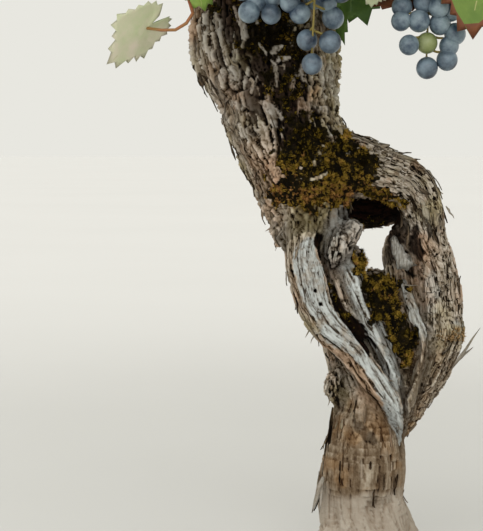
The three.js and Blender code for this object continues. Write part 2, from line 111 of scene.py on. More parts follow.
# Bark: across and along sizes of its plates, how wildly they wander, their relief and lean, the relief of
# the layers on them, the depth of the splits, the fibres' relief, its lumps, the depth that runs its colour
# from dark to pale, the sizes of its crumbs, how strongly they crack, how much paler and how bare it is
BARK_WORDS = ("across", "along", "wild", "step", "tilt", "layer", "split", "fibre", "lump", "depth", "fine",
              "crack", "pale", "bare")
BARK = {kind: dict(zip(BARK_WORDS, row)) for kind, *row in (
    ("shaggy", 12, 30, 1.5, 2.4, 1.6, 1.4, 2.0, 0.4, 3.4, 4.0, (5, 20), 0.2, 0, 0),
    ("fibrous", 4.6, 34, 0.7, 0.9, 0.7, 0.9, 1.1, 0.5, 1.7, 2.4, (2.8, 20), 0.5, 0.04, 0),
    ("crumbly", 6, 16, 1.4, 0.8, 0.8, 1.0, 1.1, 0.4, 2.2, 3.0, (2.6, 8), 1.0, 0.17, 0),
    ("lower", 9, 130, 0.5, 0.5, 0.1, 0.1, 1.0, 0.2, 4.2, 2.5, (3.4, 60), 0.1, 0, 0),
    ("bare", 6, 70, 0.5, 0.35, 0.2, 0.35, 0.5, 0.4, 0.9, 1.1, (2.4, 34), 0.6, 0, 1.0),
    ("gnarled", 6, 10, 1.7, 1.8, 1.6, 1.6, 1.2, 0.4, 2.2, 2.8, (2.6, 5), 0.9, 0.04, 0.4),
    ("rotten", 4, 8, 1.7, 1.5, 0.9, 1.6, 0.8, 0.4, 2.0, 2.6, (2.4, 4), 0.9, 0, 0),
)}

# Scales of the bark's noises in millimetres, twice across and once along the fibres: the bends and ripples
# that its plates follow, with their sizes, its fibres, lumps and knobs, and the ridges of bare wood
BEND_SCALE, BEND_SIZE = (13, 13, 30), (0.9, 0.9, 0.4)
RIPPLE_SCALE, RIPPLE_SIZE = (4, 4, 9), 0.4
FIBRE_SCALE, SPLINTER_SCALE = (1.5, 1.5, 18), (1.1, 1.1, 7)
LUMP_SCALE, KNOB_SCALE = (20, 20, 34), (8, 8, 17)
RIDGE_SCALE, THREAD_SCALE = (4.4, 4.4, 34), (1.5, 1.5, 14)

# Patches that a coat covers: routes of x, y, z and reach, with the coat's thickness after each
MOSS = (
    (((-64, -28, 258, 10), (-58, -31, 254, 15), (-40, -30, 258, 20), (-22, -26, 268, 21), (-9, -22, 274, 13)), 1.0),
    (((-66, -28, 280, 9), (-52, -33, 280, 17), (-32, -30, 286, 17), (-14, -18, 292, 13)), 0.95),
    (((-58, -33, 296, 12), (-40, -33, 306, 13), (-20, -20, 304, 9)), 0.6),
    (((-46, -34, 318, 15), (-56, -34, 342, 24), (-66, -31, 370, 25), (-70, -30, 396, 20)), 0.6),
    (((-62, -30, 362, 12), (-66, -30, 350, 10)), 0.9), (((-117, -2, 376, 8), (-106, -12, 378, 8)), 0.6),
    (((-8, -15, 254, 7), (8, -14, 251, 6.5), (21, -13, 245, 5)), 0.85),
    (((4, -5, 191, 12), (11, -9, 175, 13), (20, -10, 160, 10), (25, -9, 147, 8)), 1.0),
    (((-4, 20, 232, 6), (8, 16, 231, 6)), 0.6),
    (((-9, -8, 207, 8), (-9, -8, 200, 6)), 0.9),
    (((-26, -12, 190, 3), (-17, -11, 174, 4), (-8, -12, 160, 3.4)), 0.4),
    (((-20, -14, 252, 6), (-13, -10, 246, 6)), 0.8),
    (((-50, 66, 300, 26), (-62, 70, 372, 24)), 0.8),
    (((4, 36, 12, 16), (0, 32, 62, 14)), 0.5),
)
FUZZ = ((((50, -15, 157, 4.4), (58, -12, 158, 4.6), (66, -5, 156, 4)), 1.0),)
BARE = (
    (((-41, -22, 221, 4), (-44, -22, 206, 8.4), (-38, -24, 191, 9.6), (-34, -26, 180, 9.4), (-25, -26, 167, 10),
      (-14, -26, 157, 9), (-5, -24, 146, 6), (3, -24, 134, 5.8), (10.5, -22, 122, 6), (17, -17, 105, 6),
      (20, -14, 94, 4), (22, -13, 84, 2.4)), 1.0),
    (((39, -18, 205, 5), (40, -17, 192, 8), (40, -15, 174, 6)), 0.3),
    (((50, -16, 165, 2.2), (58, -13, 166, 2.6), (65, -6, 164, 2.2)), 0.5),
    (((-23, -16, 345, 6), (-21, -18, 318, 8), (-23, -18, 298, 7)), 0.35),
    (((23, -10, 193, 3), (27, -13, 180, 4), (31, -15, 169, 4.4), (36, -16, 159, 4)), 0.85),
)
# Painted shade: patches that darken the bark where shade falls, in the hollow behind the window, the grooves between
# the strands and the head's face under the crown, with how dark each is after it
PAINTED_SHADE = (
    (((-10, 6, 238, 13), (8, 10, 240, 17), (24, 6, 238, 12)), 1.0),
    (((34, -6, 232, 5), (31, -9, 218, 5.5), (32, -12, 206, 5), (32, -12, 194, 4), (35, -13, 178, 3)), 0.9),
    (((22, -2, 232, 8), (24, -4, 222, 8)), 0.72),
    (((-34, -18, 222, 4), (-29, -16, 200, 3.4), (-25, -15, 187, 3), (-18, -14, 173, 4), (-8, -15, 160, 5.4),
      (0, -16, 149, 4.6)), 1.0),
    (((-70, -30, 400, 32), (-72, -31, 376, 29), (-64, -32, 354, 28), (-56, -34, 328, 28),
      (-46, -30, 304, 24)), 0.95),
    (((-66, -30, 330, 12), (-72, -28, 306, 10)), 0.6),
    (((-34, -30, 352, 12), (-32, -30, 330, 10)), 0.6),
    (((24, -14, 119, 2.4), (24, -11, 104, 2.6), (26, -7, 92, 3)), 0.9),
    (((-98, -12, 396, 24), (-94, -14, 366, 20), (-86, -16, 336, 16), (-78, -22, 306, 14)), 0.75),
    (((-116, 0, 398, 20), (-104, -6, 382, 18), (-88, -14, 372, 18)), 0.9),
    (((12, -2, 227, 6), (12, -2, 210, 6)), 0.65), (((-12, -8, 241, 6), (-19, -13, 238, 4)), 0.6),
    (((-15, -24, 106, 3), (-6, -26, 96, 4.5), (2, -26, 88, 3)), 0.5),
    (((-22, -22, 118, 4), (-12, -22, 112, 3)), 0.5),
    (((15, -7, 229, 5), (20, -10, 214, 7), (27, -10, 204, 6)), 0.9),
)
BEETLE_HOLES = ((-44, -24, 196, 1.1), (-46, -23, 203.5, 0.8), (-41, -24, 215, 0.9), (-33, -26, 180, 1.0),
                (-37, -26, 189, 0.7), (-48, -22, 209, 0.7))

# Pale flakes that show on the head's face: x and z of points along each, and the half width
FLAKES = (
    (((-90, 347), (-91, 336), (-90, 324)), 3.4), (((-99, 336), (-98, 325)), 2.2),
    (((-66, 341), (-63, 334), (-63, 325)), 1.8), (((-66, 346), (-60, 350)), 2.4), (((-62, 341), (-55, 343)), 1.8),
    (((-94, 315), (-86, 310)), 2.8), (((-73, 314), (-66, 309), (-60, 303)), 3.0), (((-66, 301), (-63, 297)), 2.0),
    (((-91, 376), (-84, 360), (-86, 350)), 2.2), (((-78, 377), (-76, 366)), 1.8), (((-104, 372), (-101, 358)), 3.6),
    (((-109, 352), (-105, 338)), 2.4), (((-82, 336), (-84, 322)), 1.5), (((-76, 330), (-79, 320)), 1.4),
    (((-86, 299), (-80, 288)), 1.8), (((-98, 310), (-92, 296)), 2.0), (((-112, 374), (-111, 352)), 3.4),
    (((-25, 346), (-27, 330), (-22, 318), (-24, 306)), 2.6), (((-32, 344), (-34, 330), (-31, 316)), 2.0),
    (((-40, 262), (-30, 267)), 1.6), (((-74, 352), (-70, 345)), 1.6), (((-47, 338), (-46, 328)), 1.4),
)
FLAKE_RISE = 1.1

# The box that holds the trunk's grid, the value that stands far from all strands, how far beyond a strand
# its distances are found, and how softly the cuts are made
FIELD_LOW, FIELD_HIGH = np.array((-128.0, -42.0, -4.0)), np.array((76.0, 84.0, 446.0))
FIELD_FAR = 60.0
FIELD_MARGIN = 4
CUT_SOFTNESS = 2.0

# How strands share their bark: the reach of the blend and the least share that counts. How many rounds
# blur the height that the colour is judged against, how deep a beetle hole goes, and the heights up to
# which the bark is worn by the ground, earthy, earthy on the limb, and over which it is the head's
STRAND_BLEND, STRAND_LEAST = 1.6, 0.05
RELIEF_ROUNDS = 14
HOLE_DEPTH = 1.5
WORN_TOP, EARTHY_TOP, EARTHY_LIMB_TOP, HEAD_FLOOR = 54, 124, 164, 225

# The trunk's pieces: name, lowest and highest place, and the nodes that each stands for
TRUNK_PIECES = (
    ("trunk_foot_bark", -10, 99, "trunk_foot"),
    ("stems_bark", 99, 277, "left_stem", "right_limb_lower", "right_limb_upper", "mossy_heartwood"),
    ("head_bark", 277, 900, "trunk_head"),
)

# Seeds of the random draws for the strips, the tufts of moss and the loose flake, and of the noises for
# the bark of the trunk's strands and of the arms. Then how far apart the grains of two strips can start
STRIP_SEED, TUFT_SEED, FLAKE_SEED = 7, 11, 5
STRAND_SEED, ARM_SEED = 100, 500
GRAIN_START = 900

# Splinters that stand off the trunk: both ends, the width and how bare it is. Then the outline of the
# loose flake beside the window, as x and z, and the depth y of its middle
SPLINTERS = (
    ((-31, -14, 61), (-38, -17, 37), 4.4, 0.3), ((-33, -12, 57), (-36, -15, 41), 2.2, 0.2),
    ((-31, -16, 55), (-34, -19, 36), 2.2, 0.3), ((-24, -10, 108), (-28, -12, 68), 2.6, 0),
    ((-26.5, -11, 93), (-30, -10, 73), 1.8, 0),
    ((57, -6, 134), (75.5, -9, 162), 2.2, 0.2), ((60, -5, 138), (71, -6, 149), 2.2, 0.2),
    ((-62, -12, 233), (-70, -15, 228), 2.0, 0.2), ((-58, -13, 229), (-63, -16, 223), 1.4, 0.2),
    ((-39, -16, 164), (-43, -19, 157), 1.4, 0.2), ((-36, -16, 160), (-40, -20, 153), 1.1, 0.2),
    ((52, -6, 244), (57, -8, 236), 1.6, 0.2), ((-26, -12, 126), (-30, -16, 117), 1.6, 0.2),
    ((-25, -14, 120), (-28, -18, 110), 1.3, 0.2), ((-22, -16, 130), (-29, -18, 127), 1.3, 0.2),
    ((22, -16, 192), (33, -19, 192), 0.9, 0.2), ((28, -12, 262), (35, -18, 252), 1.2, 0.2),
)
LOOSE_FLAKE = ((13.8, 223), (16, 225), (18, 224), (19, 220), (22.4, 218), (23.6, 213.6), (27.6, 211.6), (28.4, 207),
               (32, 205), (27.6, 204), (25.2, 201), (21.6, 203), (18, 202.2), (17.4, 207.6), (14.6, 213), (14.2, 218))
FLAKE_DEPTH = -15

# The arms and the crown, by the source's rule
HEAD_TOP = np.array((-72.0, 31.0, 408.0))
ARM = dict(reach=168, root=16, root_radius=18, tip_radius=10.5, kink=9, sink=6)
RING_TURN = 60
FIRST_TURN = -82
RING_NAMES = ("front", "right", "back_right", "back", "back_left", "left")
RING_RISE = (32, 33, 37, 34, 38, 31)
LEADER_RISE = 84
LEADER_REACH = 150
STEM_LENGTH = 42
CLEARANCE = 0.3
SHOOTS = 3
FAN = 25
RING_START = (46, 68, 34)
LEADER_START = (62, 80, 70)
LIFT = 22
FALL = 74
WANDER = 13
ZIGZAG = 8
JOINTS = 8
JOINT_LENGTH = 78
SHOOT_RADII = (5.2, 4.2, 4.3, 1.8)
STEM_RADII = (10.5, 6.6)
SIDE_LENGTH = 66
LEAF = dict(width=132, spread=34, stalk=74)
LEAF_TRIES = 5
LEAF_ROOM = 0.2
RIM, SHOWN_RIM = 22, 44
CONE = dict(radius=66, slope=0.42, start=540)
SPACE_MARGIN = 1.5
CONE_MARGIN = 8
BUNCH = dict(length=118, radius=33, stalk=38)
BARE_SHOOTS = (0, 3, 8, 13, 16, 18, 20)
LOW_BUNCHES = (
    ("front", (-40, -82, 436), 101, 29),
    ("front", (-77, -52, 424), 62, 22),
    ("right", (34, -50, 440), 106, 29),
)


# Chance and noise: how noises are turned, in the shapes and in the materials, so that no seams run along the axes
TEXTURE_TURN = (0.6, 0.7, 0.3)
NOISE_TURN = np.array(((0.6, -0.64, 0.48), (0.8, 0.48, -0.36), (0.0, 0.6, 0.8)))


def chance(seed, i):
    """A number from 0 to 1 that depends only on its seed and its place in the row."""
    wave = math.sin(seed * 12.9898 + i * 78.233) * 43758.5453
    return wave - math.floor(wave)


def cell_bits(cells, seed):
    """A whole number for each lattice cell: its three indices mixed by odd multipliers and shifts."""
    h = (cells[..., 0] * 73856093) ^ (cells[..., 1] * 19349663) ^ (cells[..., 2] * 83492791)
    h = (h ^ (seed * 2654435 + 97)) * 1274126177
    h = (h ^ (h >> 15)) * 668265263
    return (h ^ (h >> 13)) & 0x3FFFFFFF


def noise(places, seed):
    """Smooth noise from -1 to 1: random values at the lattice corners, blended by 3f^2 - 2f^3. The places
    are turned first, so that no seams run across what is stretched."""
    places = places @ NOISE_TURN
    base = np.floor(places).astype(np.int64)
    part = places - base
    part = part * part * (3 - 2 * part)
    total = np.zeros(places.shape[:-1])
    for corner in np.ndindex(2, 2, 2):
        weight = np.prod(np.where(corner, part, 1 - part), axis=-1)
        total += weight * cell_bits(base + corner, seed)
    return total / 0x20000000 - 1


def layered(places, coarse, fine, share, seed, apart=1):
    """A coarse noise plus a share of a fine one, each of the places over its scale."""
    return noise(places / coarse, seed) + share * noise(places / fine, seed + apart)


def plates(places, seed):
    """Voronoi plates: the width of the gap to the next plate, a random number for the plate, and the way
    from the plate's middle. Each lattice cell holds one middle, moved from the cell's centre."""
    base = np.floor(places).astype(np.int64)
    nearest = np.full(len(places), 9.0)
    second = nearest.copy()
    pick = np.zeros(len(places))
    offset = np.zeros_like(places)
    for step in np.ndindex(3, 3, 3):
        cell = base + np.array(step) - 1
        bits = cell_bits(cell, seed)
        jitter = np.stack((bits & 1023, (bits >> 10) & 1023, (bits >> 20) & 1023), -1) / 1023
        away = places - cell - jitter
        reach = np.sqrt((away ** 2).sum(-1))
        closer = reach < nearest
        second = np.where(closer, nearest, np.minimum(second, reach))
        nearest = np.where(closer, reach, nearest)
        pick = np.where(closer, (bits & 4095) / 4095, pick)
        offset = np.where(closer[:, None], away, offset)
    return second - nearest, pick, offset


def soft_step(x, low, high):
    """0 below low, 1 above high, and 3t^2 - 2t^3 between them."""
    t = np.clip((x - low) / (high - low), 0, 1)
    return t * t * (3 - 2 * t)


# Routes and tubes

def smooth_route(stations, steps=5):
    """Rows through the stations: a Catmull-Rom curve, p1 + t(p2 - p0)/2 + t^2(2p0 - 5p1 + 4p2 - p3)/2 +
    t^3(3p1 - p0 - 3p2 + p3)/2, with every column treated alike."""
    rows = np.array(stations, float)
    rows = np.vstack((2 * rows[0] - rows[1], rows, 2 * rows[-1] - rows[-2]))
    t = np.linspace(0, 1, steps, endpoint=False)[:, None, None]
    p0, p1, p2, p3 = rows[:-3], rows[1:-2], rows[2:-1], rows[3:]
    spans = p1 + t * (p2 - p0) / 2 + t ** 2 * (2 * p0 - 5 * p1 + 4 * p2 - p3) / 2 \
        + t ** 3 * (3 * p1 - p0 - 3 * p2 + p3) / 2
    return np.vstack((spans.transpose(1, 0, 2).reshape(-1, rows.shape[1]), rows[-2]))


def unit(v):
    """Vectors scaled to length 1."""
    return v / np.maximum(np.linalg.norm(v, axis=-1, keepdims=True), 1e-9)


def from_segment(points, start, end):
    """How far along a segment, from 0 to 1, each point's nearest place lies, and the way from that place."""
    axis = end - start
    away = points - start
    t = np.clip(away @ axis / (axis @ axis), 0, 1)
    return t, away - t[:, None] * axis


def around(count):
    """The numbers of a ring's points, and of the next point after each."""
    k = np.arange(count)
    return k, (k + 1) % count


def faces_of(*corners):
    """Faces from arrays of their corners' numbers. A single number is a corner that all of them share."""
    return np.stack(np.broadcast_arrays(*corners), -1).reshape(-1, len(corners))


def ring_quads(count, sides):
    """Quads between each of count rings of points and the next, with sides points in a ring."""
    i = np.arange(count - 1)[:, None] * sides
    k, after = around(sides)
    return faces_of(i + k, i + after, i + sides + after, i + sides + k)


def carried_frames(points):
    """Directions along and across a line: the side is carried from point to point with no twist."""
    ahead = unit(np.gradient(points, axis=0))
    side = np.zeros_like(points)
    carried = np.array((1, 0.2, 0.1))
    for i, way in enumerate(ahead):
        carried = carried - way * (carried @ way)
        if np.linalg.norm(carried) < 1e-3:
            carried = np.cross(way, (0, 0, 1.0))
        carried = carried / np.linalg.norm(carried)
        side[i] = carried
    return ahead, side, np.cross(ahead, side)


TUBE_POINT = 0.3


def tube(points, radii, sides):
    """A closed tube: ring i is point i + radius i * (cos a * side + sin a * across), with an end point at
    each end, TUBE_POINT of a radius out. Returns its points, its quads and its end triangles."""
    ahead, side, across = carried_frames(points)
    angle = np.linspace(0, 2 * np.pi, sides, endpoint=False)[None, :, None]
    ring = np.cos(angle) * side[:, None] + np.sin(angle) * across[:, None]
    rings = points[:, None] + radii[:, None, None] * ring
    count = len(points)
    start = points[0] - ahead[0] * radii[0] * TUBE_POINT
    end = points[-1] + ahead[-1] * radii[-1] * TUBE_POINT
    verts = np.vstack((rings.reshape(-1, 3), start, end))
    k, after = around(sides)
    last = (count - 1) * sides
    ends = faces_of(count * sides, after, k), faces_of(count * sides + 1, last + k, last + after)
    return verts, ring_quads(count, sides), np.vstack(ends)


# Meshes

class Pile:
    """Shapes that are gathered to be joined into one mesh."""

    def __init__(self):
        self.verts, self.faces, self.picks, self.count = [], [], [], 0

    def add(self, verts, *faces, pick=0):
        """Adds points and arrays of faces on them, with one material number or one for each face."""
        for group in faces:
            self.faces.append(group + self.count)
            self.picks.append(np.broadcast_to(pick, len(group)))
        self.verts.append(verts)
        self.count += len(verts)

    def add_copies(self, places, faces, picks):
        """Adds copies of one shape: places is copies x points x 3, and picks is copies x faces."""
        copies, size = places.shape[:2]
        shifted = faces[None] + (np.arange(copies) * size)[:, None, None]
        self.add(places.reshape(-1, 3), shifted.reshape(-1, faces.shape[1]), pick=picks.reshape(-1))

    def add_tube(self, points, first, last, pick, sides=5):
        """Adds a tapering tube from the first radius to the last."""
        verts, quads, ends = tube(points, np.linspace(first, last, len(points)), sides)
        self.add(verts, quads, ends, pick=pick)

    def build(self, name, materials):
        """The object that all shapes make together."""
        return put_mesh(name, np.vstack(self.verts), self.faces, materials, np.concatenate(self.picks))


def put_mesh(name, verts, faces, materials, picks=None):
    """An object at the origin whose mesh has these points, given in millimetres, and faces."""
    mesh = bpy.data.meshes.new(name)
    corners = np.concatenate([group.ravel() for group in faces]).astype(np.int32)
    sizes = np.concatenate([np.full(len(group), group.shape[1]) for group in faces])
    mesh.vertices.add(len(verts))
    mesh.vertices.foreach_set("co", (verts * METRES).astype(np.float32).ravel())
    mesh.loops.add(len(corners))
    mesh.loops.foreach_set("vertex_index", corners)
    mesh.polygons.add(len(sizes))
    mesh.polygons.foreach_set("loop_start", np.concatenate(((0,), np.cumsum(sizes)[:-1])).astype(np.int32))
    mesh.polygons.foreach_set("use_smooth", np.ones(len(sizes), bool))
    for material in materials:
        mesh.materials.append(material)
    if picks is not None:
        mesh.polygons.foreach_set("material_index", picks.astype(np.int32))
    mesh.update(calc_edges=True)
    piece = bpy.data.objects.new(name, mesh)
    bpy.context.scene.collection.objects.link(piece)
    return piece


def put_values(piece, **stored):
    """Stores numbers or vectors for the points of a mesh, under the names that its material reads."""
    for name, values in stored.items():
        kind, key = ("FLOAT", "value") if values.ndim == 1 else ("FLOAT_VECTOR", "vector")
        layer = piece.data.attributes.new(name, kind, "POINT")
        layer.data.foreach_set(key, values.astype(np.float32).ravel())


def settle(piece, slot, *nodes):
    """The piece rides on the vine and stands for the nodes. The slot is not used."""
    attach(piece, "root")
    if nodes:
        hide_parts(*nodes)


# Materials

# Noises of the bark's material: scale, detail and roughness
BARK_NOISES = dict(mottle=(80, 5, 0.65), speck=(480, 3, 0.7), hue=(22, 3, 0.55), warm=(58, 4, 0.6),
                   ochre=(46, 3, 0.5), soiled=(70, 5, 0.65))

# Ramps from dark to pale: a place on the ramp and a screen colour
BARK_RAMP = ((0.03, 10, 6, 3), (0.18, 40, 30, 18), (0.31, 100, 86, 68), (0.46, 143, 131, 113),
             (0.64, 172, 160, 144), (0.92, 206, 196, 182))
EARTH_RAMP = ((0.03, 26, 17, 10), (0.2, 64, 48, 34), (0.4, 106, 88, 68), (0.6, 142, 126, 106),
              (0.92, 190, 178, 160))
WORN_RAMP = ((0.1, 140, 124, 106), (0.5, 164, 152, 137), (0.95, 182, 172, 158))
WOOD_RAMP = ((0.04, 24, 17, 11), (0.2, 86, 77, 66), (0.35, 146, 144, 138), (0.54, 188, 191, 188),
             (0.95, 216, 220, 218))
MOSS_RAMP = ((0.36, 4, 3, 1), (0.5, 20, 15, 5), (0.62, 50, 40, 12), (0.74, 96, 78, 26))

# Finishes by name, with their light and dark screen colours: the leaves' blades, then their rust margin,
# underside, veins, stalk and pale blade; the berries' skins and blooms; and the tufts of moss
LEAF_TINTS = (
    ("leaf_green", (92, 124, 48), (66, 98, 34)), ("leaf_dark_green", (66, 100, 42), (46, 78, 30)),
    ("leaf_light_green", (132, 158, 66), (104, 134, 50)), ("leaf_yellow", (176, 168, 78), (146, 146, 62)),
    ("leaf_rust", (150, 92, 52), (112, 60, 36)), ("leaf_underside", (156, 172, 120), (134, 154, 98)),
    ("leaf_vein", (186, 190, 120), (166, 172, 100)), ("leaf_stalk", (178, 104, 68), (150, 130, 70)),
    ("leaf_pale", (232, 222, 200), (204, 214, 168)),
)
RUST, UNDERSIDE, VEIN, STALK = 4, 5, 6, 7
BERRY_TINTS = (
    ("berry_blue", (42, 62, 84), (150, 168, 178)), ("berry_black", (32, 44, 62), (124, 142, 156)),
    ("berry_violet", (58, 44, 66), (128, 126, 150)), ("berry_green", (120, 132, 66), (160, 168, 120)),
)
UNRIPE, BUNCH_STALK = 3, 4
MOSS_TINTS = (
    ("moss_dark", (52, 44, 14), (24, 19, 6)), ("moss_olive", (166, 140, 50), (100, 78, 28)),
    ("moss_gold", (226, 186, 88), (150, 118, 44)), ("moss_rust", (222, 166, 100), (150, 104, 56)),
    ("moss_straw", (224, 192, 142), (176, 138, 92)),
)
STRAW = 4
# The near black at the foot of each moss blade: painted shade down among the tufts along with the moss's own darker
# base
MOSS_FOOT = (14, 10, 3)
DRIFT = (0.35, 0.7)


def tint(*screen):
    """A linear colour from screen values of 0 to 255."""
    values = [c / 255 for c in screen]
    return (*(c / 12.92 if c < 0.04045 else ((c + 0.055) / 1.055) ** 2.4 for c in values), 1.0)


class Finish:
    """A material whose nodes are written as short calls. Each call returns an output socket."""

    def __init__(self, name, roughness=0.8, **sockets):
        self.material = bpy.data.materials.new(name)
        self.material.use_nodes = True
        self.tree = self.material.node_tree
        self.shader = self.tree.nodes["Principled BSDF"]
        self.shader.inputs["Roughness"].default_value = roughness
        for key, value in sockets.items():
            self.shader.inputs[key.replace("_", " ")].default_value = value

    def node(self, kind, output, sockets, **settings):
        """A new node with its settings, whose sockets are linked to others or hold values."""
        made = self.tree.nodes.new(kind)
        for key, value in settings.items():
            setattr(made, key, value)
        for key, value in sockets.items():
            if isinstance(value, bpy.types.NodeSocket):
                self.tree.links.new(value, made.inputs[key])
            else:
                made.inputs[key].default_value = value
        return made.outputs[output]

    def stored(self, name, output="Fac"):
        """What is stored under a name for the mesh's points."""
        return self.node("ShaderNodeAttribute", output, {}, attribute_name=name)

    def place(self, scale=(1, 1, 1), start=None):
        """The place on the object, or another start, turned and scaled."""
        start = start or self.node("ShaderNodeTexCoord", "Object", {})
        return self.node("ShaderNodeMapping", "Vector", {"Vector": start, "Scale": scale, "Rotation": TEXTURE_TURN})

    def noise(self, place, scale, detail=3, roughness=0.55):
        """Noise from 0 to 1 over a place."""
        sockets = {"Vector": place, "Scale": scale, "Detail": detail, "Roughness": roughness}
        return self.node("ShaderNodeTexNoise", "Fac", sockets)

    def sum(self, a, b, share=1.0):
        """a + share * b."""
        return self.node("ShaderNodeMath", "Value", {0: b, 1: share, 2: a}, operation="MULTIPLY_ADD")

    def times(self, a, b):
        """a * b."""
        return self.node("ShaderNodeMath", "Value", {0: a, 1: b}, operation="MULTIPLY")

    def blend(self, value, *parts):
        """The value plus, for each part and its share, share * (part - 0.5)."""
        for part, share in parts:
            value = self.sum(value, self.sum(-0.5, part), share)
        return value

    def spread(self, value, low, high):
        """Runs from 0 at low to 1 at high."""
        return self.node("ShaderNodeMapRange", "Result", {"Value": value, "From Min": low, "From Max": high})

    def ramp(self, value, stops):
        """A colour that runs through the stops: a place on the ramp and a screen colour for each."""
        colour = self.node("ShaderNodeValToRGB", "Color", {"Fac": value})
        points = colour.node.color_ramp.elements
        for place, *_ in stops[2:]:
            points.new(place)
        for point, (place, *screen) in zip(points, stops):
            point.position = place
            point.color = tint(*screen)
        return colour

    def mix(self, share, a, b, blend="MIX"):
        """From a to b as far as the share says, or in another way to blend them."""
        return self.node("ShaderNodeMix", 2, {0: share, 6: a, 7: b}, data_type="RGBA", blend_type=blend)

    def stain(self, share, colour, *screen):
        """The colour, multiplied by a screen colour as far as the share says."""
        return self.mix(share, colour, self.mix(1.0, colour, tint(*screen), "MULTIPLY"))

    def colour(self, value):
        """Gives the shader its colour."""
        self.tree.links.new(value, self.shader.inputs["Base Color"])

    def bump(self, height, distance, strength=0.6):
        """Gives the shader a fine relief."""
        normal = self.node("ShaderNodeBump", "Normal",
                           {"Height": height, "Distance": distance, "Strength": strength})
        self.tree.links.new(normal, self.shader.inputs["Normal"])


@lru_cache(maxsize=None)
def bark_finish():
    """Bark and bare wood: dark in the gaps and cracks and pale on the plates, streaked along the fibres,
    with moss, bare wood, painted shade in the hollows, grooves and under the crown, and the worn foot where the
    stored numbers say. The dark in the gaps is partly painted shade and partly the bark's own darker furrows."""
    skin = Finish("bark", 0.95, Specular_IOR_Level=0.1)
    relief, cells = skin.stored("relief"), skin.stored("cells", "Vector")
    streak = skin.noise(skin.place((0.9, 0.9, 0.08), skin.stored("grain", "Vector")), 1.0, 5, 0.65)
    mottle, speck, hue, warm, ochre, soiled = (skin.noise(skin.place(), *row) for row in BARK_NOISES.values())
    crumb = {"Vector": cells, "Scale": 1.0, "Randomness": 1.0}
    crack = skin.node("ShaderNodeTexVoronoi", "Distance", crumb, feature="DISTANCE_TO_EDGE")
    crack = skin.spread(skin.blend(crack, (mottle, -0.6)), 0.1, 0.0)
    vein = skin.sum(-0.5, skin.noise(cells, 0.55, 3, 0.6))
    vein = skin.spread(skin.node("ShaderNodeMath", "Value", {0: vein}, operation="ABSOLUTE"), 0.035, 0.004)
    crack = skin.times(skin.sum(skin.times(crack, 0.6), vein), skin.stored("cracked"))
    patch = skin.node("ShaderNodeTexVoronoi", "Color", crumb)
    # The stored relief darkens the gaps: partly painted shade, partly the bark's own darker furrows
    value = skin.blend(relief, (streak, 0.3), (mottle, 0.5), (patch, 0.15), (skin.stored("tone"), 0.14),
                       (speck, 0.3))
    value = skin.sum(value, crack, -0.5)
    bark = skin.stain(skin.spread(hue, 0.5, 0.66), skin.ramp(value, BARK_RAMP), 255, 232, 216)
    bark = skin.stain(skin.spread(hue, 0.48, 0.34), bark, 240, 236, 204)
    bark = skin.stain(skin.times(skin.spread(warm, 0.54, 0.72), 0.6), bark, 236, 192, 156)
    earth = skin.ramp(value, EARTH_RAMP)
    earth = skin.stain(skin.times(skin.spread(ochre, 0.5, 0.62), 0.5), earth, 246, 204, 140)
    earth = skin.mix(skin.stored("worn"), earth, skin.ramp(value, WORN_RAMP))
    bark = skin.mix(skin.stored("earthy"), bark, earth)
    value = skin.sum(skin.blend(relief, (streak, 0.5), (mottle, 0.45), (speck, 0.3)), crack, -0.4)
    wood = skin.ramp(value, WOOD_RAMP)
    wood = skin.stain(skin.times(skin.spread(soiled, 0.52, 0.64), 0.65), wood, 206, 180, 154)
    coat = skin.mix(skin.stored("bare"), bark, wood)
    # Painted shade: the stored dark patches turn the coat a deep brown in the hollows, grooves, beetle holes and
    # under the crown
    coat = skin.stain(skin.stored("dark"), coat, 52, 34, 24)
    moss = skin.ramp(skin.sum(skin.times(speck, 0.5), mottle, 0.5), MOSS_RAMP)
    cover = skin.spread(skin.blend(skin.stored("moss"), (speck, 0.8)), 0.34, 0.6)
    skin.colour(skin.mix(cover, coat, moss))
    skin.bump(skin.sum(skin.sum(skin.times(streak, 0.5), speck, 0.6), crack, -0.7), 0.0012, 0.9)
    return skin.material


@lru_cache(maxsize=None)
def plain_finish(name, light, dark, roughness, scale, depth):
    """One colour that drifts to a darker one in soft spots, over a fine grain."""
    skin = Finish(name, roughness)
    drift = skin.noise(skin.place(), scale, 4, 0.6)
    skin.colour(skin.mix(skin.spread(drift, *DRIFT), tint(*dark), tint(*light)))
    skin.bump(drift, depth)
    return skin.material


def moss_finish(name, light, dark):
    """Moss in two tints that drift into each other, near black at the foot of each blade: painted shade down among
    the tufts along with the moss's own darker base.
    """
    skin = Finish(name, 1.0, Specular_IOR_Level=0.05)
    drift = skin.spread(skin.noise(skin.place(), 300, 4, 0.6), *DRIFT)
    blade = skin.mix(drift, tint(*dark), tint(*light))
    skin.colour(skin.mix(skin.spread(skin.stored("tip"), 0.0, 0.5), tint(*MOSS_FOOT), blade))
    return skin.material


def berry_finish(name, skin_colour, bloom_colour):
    """A dark berry under a pale waxy bloom that is rubbed thin in places."""
    skin = Finish(name, 0.42, Coat_Weight=0.15)
    bloom = skin.spread(skin.noise(skin.place(), 120, 4, 0.55), 0.3, 0.7)
    skin.colour(skin.mix(bloom, tint(*skin_colour), tint(*bloom_colour)))
    skin.bump(skin.noise(skin.place(), 900, 2), 0.0001)
    return skin.material


# The trunk

def smaller(a, b, softness):
    """A soft minimum: min(a, b) - h^2 * softness / 4, where h is 1 where a equals b and fades to 0."""
    h = np.maximum(softness - np.abs(a - b), 0) / softness
    return np.minimum(a, b) - h * h * softness / 4


